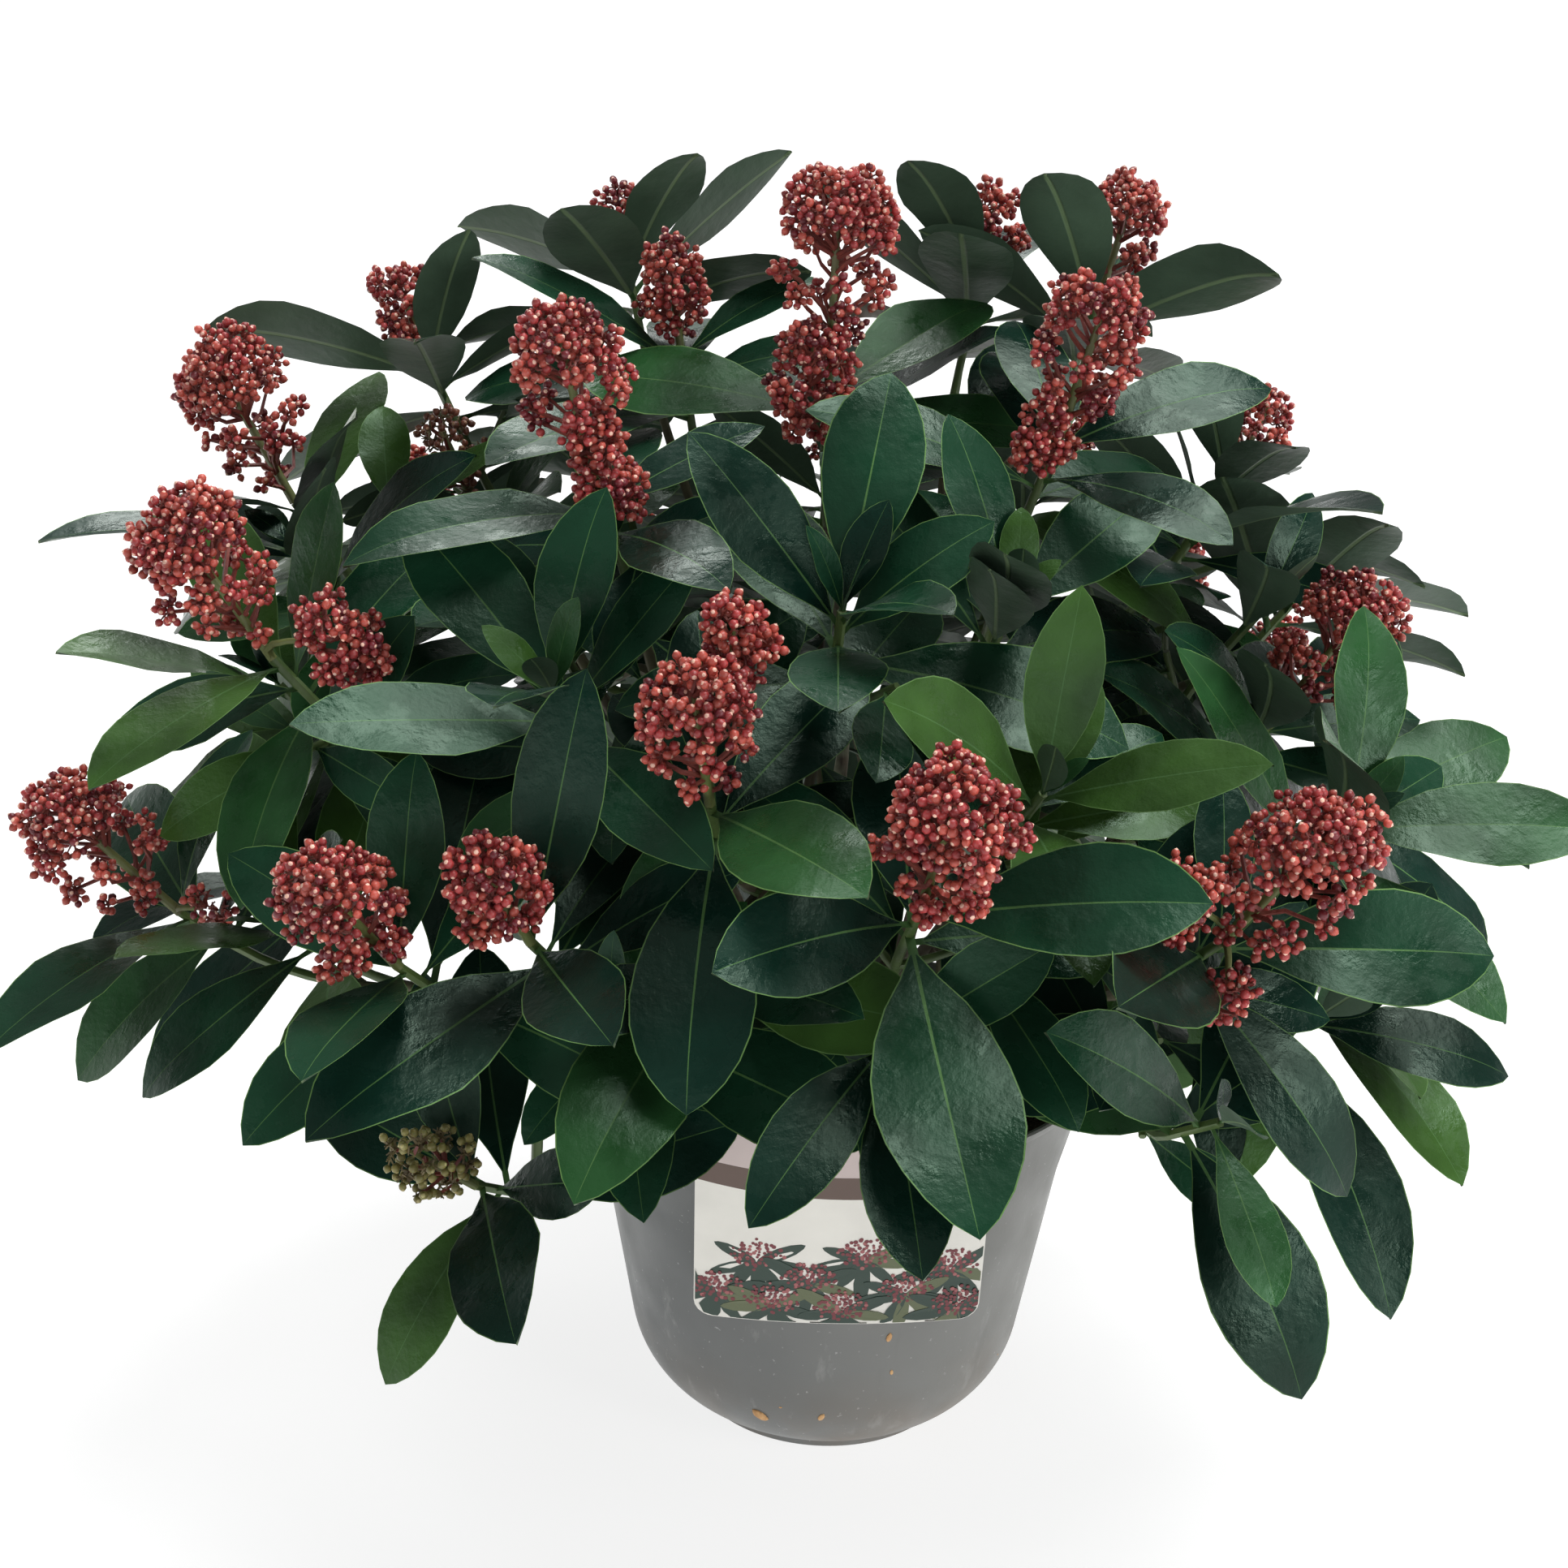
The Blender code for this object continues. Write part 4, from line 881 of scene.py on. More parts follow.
def upper_side(place, axis):
    """Direction across a shoot that is nearest to straight up, or inwards on an upright shoot."""
    up = Vector((0, 0, 1)) - 1.5 * Vector((place.x, place.y, 0))
    return (up - axis * up.dot(axis)).normalized()


def hang_stray_clusters(masses):
    """Small clusters that hang on their own below a flower head."""
    for name, azimuth, reach, height, width in STRAY_CLUSTERS:
        centre = polar(azimuth, reach, height)
        shoot = min((s for s in masses[name]["shoots"] if s["flower"]), key=lambda s: (s["head"] - centre).length)
        stalk = bend(shoot["place"], shoot["axis"], centre, (centre - shoot["place"]).normalized(), 6)
        shoot["heads"].append((centre, width, stalk))


def living_shoots(masses):
    return [(name, rank, shoot) for name, mass in masses.items()
            for rank, shoot in enumerate(mass["shoots"]) if shoot["path"]]


def place_leaves(masses, space):
    """Whorls of leaves in a spiral under each shoot's end, the lowest first on every shoot."""
    shoots = living_shoots(masses)
    for number, (name, rank, shoot) in enumerate(shoots):
        shoot["draw"] = random.Random(SEED * 100 + number)
        shoot["count"] = shoot["draw"].choice(LEAVES_IN_WHORL)
        shoot["spin"] = shoot["draw"].uniform(-WHORL_SPIN, WHORL_SPIN) - (shoot["count"] - 1) * GOLDEN_ANGLE
        shoot["side"] = upper_side(shoot["place"], shoot["axis"])
        shoot["blades"] = Space()
    for turn in range(max(LEAVES_IN_WHORL)):
        for name, rank, shoot in shoots:
            if turn >= shoot["count"]:
                continue
            lowest, highest = FLOWER_RISE if shoot["flower"] else LEAFY_RISE
            share = turn / (shoot["count"] - 1)
            root = shoot["place"] - shoot["axis"] * WHORL_SPAN * (1 - share)
            rise = math.radians(lowest + (highest - lowest) * share)
            length = shoot["size"] * (LEAF_TAPER[0] + (LEAF_TAPER[1] - LEAF_TAPER[0]) * share)
            grow_leaf(shoot, space, root, shoot["spin"] + turn * GOLDEN_ANGLE, rise, length, (name, rank))


def grow():
    """Shoots with their places and directions, by mass."""
    masses = {}
    for name, rows in all_shoots().items():
        shoots = []
        for order, (azimuth, reach, height, flower, *size) in enumerate(rows):
            head = polar(azimuth, reach, height)
            axis = shoot_axis(head)
            flower_axis = (axis + Vector((0, 0, FLOWER_LIFT))).normalized()
            place = head - flower_axis * (0.5 * FLOWER_TALL * flower + FLOWER_STALK) if flower else head
            shoots.append({"place": place, "axis": axis, "head": head, "flower": flower,
                           "flower_axis": flower_axis, "foot": place - axis * 1.1 * WHORL_SPAN,
                           "size": size[0] if size else LEAF_LENGTH, "old": OLD_HEADS.get((name, order)),
                           "heads": [], "leaves": []})
        hub = sum(((s["place"] - HUB_BELOW * s["axis"]) for s in shoots), Vector()) / len(shoots)
        masses[name] = {"shoots": shoots, "hub": hub}
    return masses


# Finer growth inside the crown, which only the looks have
def down_the_stem(path, distance):
    """Point and direction on a path at a distance back from its end."""
    left = distance
    for high, low in zip(reversed(path), reversed(path[:-1])):
        step = (high - low).length
        if left <= step:
            return high.lerp(low, left / step), (high - low).normalized()
        left -= step
    return None, None


def place_inner_growth(masses, space):
    """Older leaves down the stems, short side twigs with whorls of their own, and young leaves at leafy ends."""
    twigs = []
    for name, rank, shoot in living_shoots(masses):
        owner = (name, rank)
        draw = shoot["draw"]
        if not shoot["flower"]:
            for turn in range(YOUNG_LEAVES):
                grow_leaf(shoot, space, shoot["place"], shoot["spin"] + (turn + 0.5) * GOLDEN_ANGLE,
                          math.radians(62 + 8 * turn), shoot["size"] * (0.42 - 0.08 * turn), owner)
        if name in OPEN_MASSES:
            continue
        for turn, distance in enumerate(OLD_LEAVES):
            root, along = down_the_stem(shoot["fine"], distance)
            if root:
                grow_leaf(shoot, space, root, shoot["spin"] - (turn + 1) * GOLDEN_ANGLE,
                          math.radians(-4), 0.92 * shoot["size"], owner)
        for turn, distance in enumerate(SIDE_TWIGS):
            root, along = down_the_stem(shoot["fine"], distance)
            if not root:
                continue
            for attempt in range(5):
                angle = shoot["spin"] + (2.5 + turn + attempt) * GOLDEN_ANGLE
                spoke = shoot["side"] * math.cos(angle) + shoot["axis"].cross(shoot["side"]) * math.sin(angle)
                axis = (spoke + 0.7 * along + Vector((0, 0, 0.3))).normalized()
                end = root + axis * SIDE_TWIG_LENGTH * draw.uniform(0.8, 1.2)
                path = bend(root, (along + spoke).normalized(), end, axis, 4)
                solid = tube(path[1:], taper(0.0020, 0.0016, 4), TWIG_SIDES)
                if space.touched(*solid, skip=[owner]):
                    continue
                side_shoot = {"draw": draw, "axis": axis, "side": upper_side(end, axis), "blades": Space(),
                              "leaves": []}
                own = (name, rank, "side", turn)
                for step in range(SIDE_TWIG_LEAVES):
                    share = step / (SIDE_TWIG_LEAVES - 1)
                    base = end - axis * 0.012 * (1 - share)
                    grow_leaf(side_shoot, space, base, angle + step * GOLDEN_ANGLE,
                              math.radians(-2 + 44 * share), LEAF_LENGTH * (0.78 - 0.16 * share), own, 5)
                if side_shoot["leaves"]:
                    twigs.append(path)
                    shoot["leaves"] += side_shoot["leaves"]
                    space.add(*solid, own)
                break
    return twigs


# One leaf, modelled flat and once. Length 1, with its place along it in Y.
def outline(share):
    """Half width of the blade over its greatest half width."""
    if share <= STALK_SHARE:
        return STALK_HALF / (0.5 * LEAF_WIDTH)
    along = (share - STALK_SHARE) / (1 - STALK_SHARE)
    widest = LEAF_BASE_SHAPE / (LEAF_BASE_SHAPE + LEAF_TIP_SHAPE)
    peak = widest ** LEAF_BASE_SHAPE * (1 - widest) ** LEAF_TIP_SHAPE
    shape = along ** LEAF_BASE_SHAPE * max(0.0, 1 - along) ** LEAF_TIP_SHAPE / peak
    return max(shape, STALK_HALF / (0.5 * LEAF_WIDTH) * (1 - 0.75 * along))


def model_leaf():
    """A grid drawn to the outline, with a rib and a margin, and its edge drawn in below for the back."""
    half = 0.5 * LEAF_WIDTH
    rows = len(LEAF_STATIONS) - 1
    deselect()
    bpy.ops.mesh.primitive_grid_add(x_subdivisions=5, y_subdivisions=rows, size=1, location=(0, 0.5, 0))
    leaf = named("leaf_pattern")
    bpy.ops.object.transform_apply(location=True, rotation=False, scale=False)
    for row, station in reversed(list(enumerate(LEAF_STATIONS))):
        level, place = row / rows, 2.0 + station
        edge = half * outline(station)
        margin = min(LEAF_MARGIN, 0.3 * edge)
        rib = min(LEAF_RIB * (1.15 - station), 0.4 * edge)
        pick(leaf, lambda co: abs(co.y - level) < 1e-4)
        bpy.ops.transform.translate(value=(0, place - level, 0))
        for column, wanted in ((0.1, rib), (0.3, edge - margin), (0.5, edge)):
            pick(leaf, lambda co: abs(co.y - place) < 1e-4 and abs(abs(co.x) - column) < 1e-3)
            resize((wanted / column, 1, 1))
    pick(leaf, lambda co: co.y > 2.999)
    bpy.ops.mesh.merge(type="CENTER")
    bpy.ops.mesh.select_all(action="SELECT")
    bpy.ops.transform.translate(value=(0, -2.0, 0))
    bpy.ops.mesh.region_to_loop()
    bpy.ops.mesh.extrude_edges_move(TRANSFORM_OT_translate={"value": (0, 0, -LEAF_BELLY)})
    resize((0, 1, 1))
    bpy.ops.mesh.remove_doubles(threshold=1e-5)
    bpy.ops.mesh.select_all(action="SELECT")
    bpy.ops.mesh.normals_make_consistent(inside=False)
    return done(leaf)


BLADE, RIB, MARGIN, BACK = range(4)


def leaf_parts(leaf):
    """Which part of the leaf each face belongs to."""
    parts = []
    half = 0.5 * LEAF_WIDTH
    for face in leaf.data.polygons:
        x, y, z = face.center
        spots = [leaf.data.vertices[index].co for index in face.vertices]
        inset = max(half * outline(spot.y) - abs(spot.x) for spot in spots)
        if y < 0.8 * STALK_SHARE or (z > -0.1 * LEAF_BELLY and abs(x) < 0.1 * half * outline(y)):
            parts.append(RIB)
        elif z < -0.1 * LEAF_BELLY:
            parts.append(BACK)
        else:
            parts.append(MARGIN if inset < 1.05 * LEAF_MARGIN else BLADE)
    return np.array(parts)


class Pattern:
    """Arrays of a small mesh that is copied many times."""

    def __init__(self, piece, parts=None):
        mesh = piece.data
        self.verts = np.array([tuple(v.co) for v in mesh.vertices])
        self.loops = np.array([v for face in mesh.polygons for v in face.vertices])
        self.counts = np.array([len(face.vertices) for face in mesh.polygons])
        self.parts = parts if parts is not None else np.zeros(len(self.counts), dtype=int)
        bpy.data.objects.remove(piece, do_unlink=True)


def scatter(name, pattern, clouds, parts, finishes, uv=None):
    """One mesh of many copies: the places of each copy's vertices, and each copy's material numbers."""
    copies = len(clouds)
    size = len(pattern.verts)
    verts = np.asarray(clouds, dtype=np.float32).reshape(-1, 3)
    loops = (pattern.loops[None, :] + np.arange(copies)[:, None] * size).ravel()
    counts = np.tile(pattern.counts, copies)
    mesh = bpy.data.meshes.new(name)
    mesh.vertices.add(len(verts))
    mesh.vertices.foreach_set("co", verts.ravel())
    mesh.loops.add(len(loops))
    mesh.loops.foreach_set("vertex_index", loops.astype(np.int32))
    mesh.polygons.add(len(counts))
    mesh.polygons.foreach_set("loop_start", np.concatenate([[0], np.cumsum(counts)[:-1]]).astype(np.int32))
    for finish in finishes:
        mesh.materials.append(finish)
    mesh.polygons.foreach_set("material_index", np.asarray(parts, dtype=np.int32).ravel())
    if uv is not None:
        layer = mesh.uv_layers.new(name="leaf")
        layer.data.foreach_set("uv", np.tile(uv[pattern.loops], (copies, 1)).astype(np.float32).ravel())
    mesh.update(calc_edges=True)
    piece = bpy.data.objects.new(name, mesh)
    bpy.context.scene.collection.objects.link(piece)
    take(piece)
    bpy.ops.object.shade_smooth_by_angle(angle=math.radians(75))
    return piece


def bend_leaf(flat, leaf, draw):
    """The flat pattern folded at its rib, curled, waved at its margins and laid where the rule has it."""
    root, way, face, length, width, curl = leaf
    side = np.array(way.cross(face).normalized())
    way, face, root = np.array(way), np.array(face), np.array(root - way * LEAF_SUNK)
    half = 0.5 * width
    u = flat[:, 0] / (0.5 * LEAF_WIDTH)
    v = flat[:, 1] + draw.uniform(-0.055, 0.045) * np.sin(math.pi * flat[:, 1])
    across = u * half
    spread = np.clip((v - STALK_SHARE) / 0.25, 0, 1)
    fold = LEAF_FOLD * draw.uniform(0.75, 1.5)
    lift = fold * (np.sqrt(across ** 2 + 0.0018 ** 2) - 0.0018) * spread
    lift -= draw.uniform(0.02, 0.14) * half * np.abs(u) ** 3 * spread
    for sign in (-1, 1):
        wave = np.sin(math.tau * (v * draw.uniform(1.0, 2.1) + draw.uniform(0, 1)))
        lift += np.where(u * sign > 0, 1, 0) * u ** 2 * wave * half * draw.uniform(0.02, 0.10) * spread
    tip = np.clip((v - 0.72) / 0.28, 0, 1)
    lift -= draw.uniform(0.0, 0.035) * length * tip ** 2
    lift += flat[:, 2] * length * (1 + 1.6 * np.clip(1 - v / STALK_SHARE, 0, 1))
    sway = draw.uniform(-0.05, 0.05) * length * v ** 2
    twist = draw.uniform(-0.22, 0.22) * v
    across, lift = across * np.cos(twist) - lift * np.sin(twist) + sway, across * np.sin(twist) + lift * np.cos(twist)
    angle = curl * v
    ahead = np.sin(angle) / curl * length
    drop = (1 - np.cos(angle)) / curl * length
    up = way[None, :] * np.sin(angle)[:, None] + face[None, :] * np.cos(angle)[:, None]
    return (root + way[None, :] * ahead[:, None] - face[None, :] * drop[:, None]
            + side[None, :] * across[:, None] + up * lift[:, None])


LEAF_SHADES = {
    "deep": ((0.0032, 0.0165, 0.0110), 0.27),
    "dark": ((0.0060, 0.0300, 0.0145), 0.28),
    "mid": ((0.0145, 0.0560, 0.0165), 0.30),
    "olive": ((0.0300, 0.0740, 0.0140), 0.31),
}
SHADE_SHARES = (0.38, 0.34, 0.21, 0.07)
GREENER_MASSES = {"left": 0.32, "front_right": 0.12, "front": 0.12, "left_low": 0.10}

SIDES_OF_CROWN = {
    "front_left": ("front_left", "front_centre"),
    "front_right": ("front", "front_right"),
    "left": ("left", "left_low", "left_back"),
    "right": ("right", "right_back", "top_right"),
    "top": ("top", "top_left", "left_shoulder", "right_shoulder"),
    "back": ("back_right", "back", "back_left"),
}


def make_leaves(masses):
    flat = model_leaf()
    parts = leaf_parts(flat)
    pattern = Pattern(flat, parts)
    uv = np.stack([pattern.verts[:, 0] / LEAF_WIDTH + 0.5, pattern.verts[:, 1]], axis=1)
    finishes = [leaf_finish("leaf_" + name, colour, rough) for name, (colour, rough) in LEAF_SHADES.items()]
    finishes.append(leaf_finish("leaf_rib", (0.050, 0.112, 0.034), 0.40, 0.3))
    finishes.append(leaf_finish("leaf_margin", (0.088, 0.170, 0.050), 0.45, 0.3))
    finishes.append(underside_finish())
    total = 0
    for part, names in SIDES_OF_CROWN.items():
        clouds, looks = [], []
        for name in names:
            for rank, shoot in enumerate(masses[name]["shoots"]):
                draw = random.Random(f"{name} {rank} {SEED}")
                greener = GREENER_MASSES.get(name, 0.0)
                shares = [share * (1 - greener) for share in SHADE_SHARES[:2]]
                shares += [SHADE_SHARES[2] + greener * 0.4, SHADE_SHARES[3] + greener * 0.5]
                common = draw.choices(range(4), shares)[0]
                for leaf in shoot["leaves"]:
                    shade = common if draw.random() < 0.55 else draw.choices(range(4), shares)[0]
                    clouds.append(bend_leaf(pattern.verts, leaf, draw))
                    looks.append(np.where(parts == BLADE, shade, parts + 3))
        piece = scatter("leaves_" + part, pattern, clouds, looks, finishes, uv)
        finish_piece(piece, "foliage", *["foliage_" + name for name in names])
        total += len(clouds)
    print("leaves", total, "triangles a leaf", int((pattern.counts - 2).sum()))


# Stems
def strands(name, runs, finish, resolution=1):
    """Round tapering limbs along paths, as one curve made a mesh. Each run is (points, radii)."""
    curve = bpy.data.curves.new(name, "CURVE")
    curve.dimensions = "3D"
    curve.bevel_depth = 1.0
    curve.bevel_resolution = resolution
    curve.use_fill_caps = True
    for points, radii in runs:
        spline = curve.splines.new("POLY")
        spline.points.add(len(points) - 1)
        for spot, point, radius in zip(spline.points, points, radii):
            spot.co = (*point, 1.0)
            spot.radius = radius
    piece = bpy.data.objects.new(name, curve)
    bpy.context.scene.collection.objects.link(piece)
    take(piece)
    bpy.ops.object.convert(target="MESH")
    piece = bpy.context.object
    piece.data.name = name
    bpy.ops.object.mode_set(mode="EDIT")
    bpy.ops.mesh.select_all(action="SELECT")
    bpy.ops.mesh.remove_doubles(threshold=WELD)
    bpy.ops.object.mode_set(mode="OBJECT")
    piece.data.materials.clear()
    piece.data.materials.append(finish)
    bpy.ops.object.shade_smooth_by_angle(angle=math.radians(60))
    return piece


def knobbly(points, radii, draw, amount):
    """Radii that swell a little at each old leaf scar."""
    return [radius * (1 + amount * draw.uniform(-0.5, 1.0)) for radius in radii]


def make_stems(masses, side_twigs):
    green, brown = [], []
    draw = random.Random(SEED + 5)
    for name, rank, shoot in living_shoots(masses):
        path = shoot["fine"]
        radii = taper(shoot["thick"] * STEM_THIN, TWIG_TIP_RADIUS * STEM_THIN, len(path))
        radii = knobbly(path, radii, draw, 0.10)
        lengths = [0.0]
        for a, b in zip(reversed(path[1:]), reversed(path[:-1])):
            lengths.append(lengths[-1] + (a - b).length)
        split = len(path) - 1 - next((i for i, far in enumerate(lengths) if far > GREEN_STEM), len(path) - 1)
        green.append((path[split:], radii[split:]))
        if split > 0:
            brown.append((path[:split + 1], radii[:split + 1]))
    green += [(path, taper(0.0019, 0.0015, len(path))) for path in side_twigs]
    young = stem_finish("young_stem", (0.085, 0.135, 0.035), (0.050, 0.090, 0.025), 60.0, 0.45)
    old = stem_finish("older_stem", (0.105, 0.100, 0.050), (0.060, 0.050, 0.030), 90.0, 0.75)
    finish_piece(strands("young_stems", green, young), "foliage")
    finish_piece(strands("older_stems", brown, old), "foliage")


def make_bark(masses, points, widths):
    """Trunk and boughs in one mesh with the relief of bark."""
    runs = []
    trunk = [points[0] - Vector((0, 0, 0.002))] + points
    girths = [widths[0] * 1.08] + widths
    fine_points, fine_girths = [], []
    for index in range(len(trunk) - 1):
        for step in range(4):
            fine_points.append(trunk[index].lerp(trunk[index + 1], step / 4))
            fine_girths.append(girths[index] + (girths[index + 1] - girths[index]) * step / 4)
    fine_points.append(trunk[-1])
    fine_girths.append(girths[-1])
    runs.append((fine_points, fine_girths))
    for name, mass in masses.items():
        path = mass["bough"]
        runs.append((path, taper(BOUGH_FOOT_RADIUS * 0.95, BOUGH_TIP_RADIUS * 0.95, len(path))))
    piece = strands("bark", runs, bark_finish(), 3)
    grain = bpy.data.textures.new("bark_grain", "CLOUDS")
    grain.noise_scale = 0.006
    relief = piece.modifiers.new("relief", "DISPLACE")
    relief.texture = grain
    relief.texture_coords = "GLOBAL"
    relief.strength = 0.0016
    relief.mid_level = 0.5
    apply_all(piece)
    finish_piece(piece, "bark", "trunk", *["bough_" + name for name in masses])


# Flower heads
def model_bud():
    """A closed bud: a small ball with a narrow pale tip."""
    deselect()
    bpy.ops.mesh.primitive_uv_sphere_add(segments=6, ring_count=5, radius=1.0)
    bud = named("bud_pattern")
    pick(bud, lambda co: 0.6 < co.z < 0.9)
    resize((0.80, 0.80, 1.08))
    pick(bud, lambda co: co.z > 0.95)
    bpy.ops.transform.translate(value=(0, 0, 0.20))
    done(bud)
    parts = np.array([1 if face.center.z > 0.90 else 0 for face in bud.data.polygons])
    return Pattern(bud, parts)


def model_pedicel():
    """The thin stalk of a bud, 1 long, from its foot at the origin."""
    deselect()
    bpy.ops.mesh.primitive_cone_add(vertices=3, radius1=1.2, radius2=0.9, depth=1.0, location=(0, 0, 0.5))
    stalk = named("pedicel_pattern")
    bpy.ops.object.transform_apply(location=True, rotation=False, scale=False)
    return Pattern(stalk)


def frames_along(directions, draw):
    """A turned frame for each direction, with the direction as its third column."""
    directions = directions / np.linalg.norm(directions, axis=1, keepdims=True)
    helper = np.where(np.abs(directions[:, 2:3]) < 0.9, np.array([[0.0, 0.0, 1.0]]), np.array([[1.0, 0.0, 0.0]]))
    first = np.cross(helper, directions)
    first /= np.linalg.norm(first, axis=1, keepdims=True)
    second = np.cross(directions, first)
    spin = draw.uniform(0, math.tau, len(directions))[:, None]
    turned = first * np.cos(spin) + second * np.sin(spin)
    return np.stack([turned, np.cross(directions, turned), directions], axis=2)


def sphere_points(count):
    """Evenly spread directions."""
    index = np.arange(count) + 0.5
    rise = 1 - 2 * index / count
    girth = np.sqrt(1 - rise ** 2)
    turn = index * GOLDEN_ANGLE
    return np.stack([np.cos(turn) * girth, np.sin(turn) * girth, rise], axis=1)


def lay_clusters(width, draw):
    """Middles and radii of a head's clusters about its own centre, with its axis along Z."""
    size = min(CLUSTER_RADIUS, 0.24 * width)
    inner = DOME_RADIUS * width - 0.85 * size
    count = int(round(4 * math.pi * inner ** 2 / (0.80 * (1.5 * size) ** 2)))
    swell = draw.normal(0, 1.6, (3, 3))
    places, sizes = [], []
    for spot in sphere_points(max(7, count)):
        if spot[2] < DOME_RIM or draw.random() < GAPS_IN_HEAD:
            continue
        spot = spot + draw.normal(0, 0.09, 3)
        lump = 1 + 0.05 * np.sin(swell @ spot).sum()
        places.append(spot * inner * lump + np.array([0, 0, DOME_CENTRE * width]))
        sizes.append(size * draw.uniform(0.80, 1.15))
    for height, reach, number in HEAD_TIERS:
        turn = draw.uniform(0, math.tau)
        for step in range(number):
            if draw.random() < GAPS_IN_HEAD:
                continue
            angle = turn + (step + draw.uniform(-0.25, 0.25)) * math.tau / number
            out = reach * width * draw.uniform(0.82, 1.12)
            places.append(np.array([out * math.cos(angle), out * math.sin(angle),
                                    (height + draw.uniform(-0.05, 0.05)) * width]))
            sizes.append(size * draw.uniform(0.60, 0.95))
    return np.array(places), np.array(sizes)


def build_head(centre, axis, width, foot, draw):
    """Clusters of small umbels on side branches. Returns the buds with their directions and clusters,
    the stalks as starts, ends and radii, and the side branches."""
    centre, axis, foot = np.array(centre), np.array(axis), np.array(foot)
    turn = np.array(Vector(axis).to_track_quat("Z", "Y").to_matrix())
    local, sizes = lay_clusters(width, draw)
    hubs = centre + local @ turn.T
    along = (hubs - foot) @ axis
    aside = np.linalg.norm(hubs - foot - along[:, None] * axis, axis=1)
    roots = foot + axis * np.clip(along - 0.75 * aside, 0, None)[:, None]
    buds, ways, owners, stalks, branches = [], [], [], [], []
    for number, (hub, size, root) in enumerate(zip(hubs, sizes, roots)):
        outward = (hub - root) / np.linalg.norm(hub - root)
        knots = sphere_points(UMBELS_ROUND)[:UMBELS] @ frames_along(outward[None, :], draw)[0].T
        knots = knots + draw.normal(0, 0.16, knots.shape)
        for knot_way in knots / np.linalg.norm(knots, axis=1, keepdims=True):
            knot = hub + knot_way * size * 0.46
            rays = sphere_points(UMBEL_ROUND)[:UMBEL] @ frames_along(knot_way[None, :], draw)[0].T
            rays = rays + draw.normal(0, 0.14, rays.shape)
            grown = 0
            for ray in rays / np.linalg.norm(rays, axis=1, keepdims=True):
                place = knot + ray * size * draw.uniform(0.46, 0.60)
                others = np.linalg.norm(hubs - place, axis=1) / sizes
                others[number] = 1.0
                if others.min() < 0.70:
                    continue
                if buds and np.min(np.linalg.norm(np.array(buds) - place, axis=1)) < BUD_SPACING:
                    continue
                buds.append(place)
                ways.append(ray)
                owners.append(number)
                stalks.append((knot, place - 0.7 * BUD_RADIUS * ray, PEDICEL_RADIUS))
                grown += 1
            if grown:
                stalks.append((hub, knot, 1.5 * PEDICEL_RADIUS))
        middle = 0.5 * (root + hub) + 0.10 * draw.normal(0, 1, 3) * np.linalg.norm(hub - root)
        branches.append(([Vector(root), Vector(middle), Vector(hub)], [0.00105, 0.00090, 0.00075]))
    return np.array(buds), np.array(ways), np.array(owners), stalks, branches


BUD_COLOURS = {
    "bud_coral": (0.470, 0.086, 0.062),
    "bud_red": (0.345, 0.042, 0.042),
    "bud_dark": (0.160, 0.017, 0.024),
    "bud_tip": (0.840, 0.500, 0.390),
    "bud_olive": (0.230, 0.205, 0.065),
    "bud_olive_tip": (0.480, 0.430, 0.190),
    "bud_rusty": (0.210, 0.072, 0.042),
    "bud_rusty_tip": (0.460, 0.280, 0.170),
}
OLD_LOOKS = {"olive": (4, 5), "rusty": (6, 7)}
BUD_SHARES = (0.42, 0.42, 0.16)


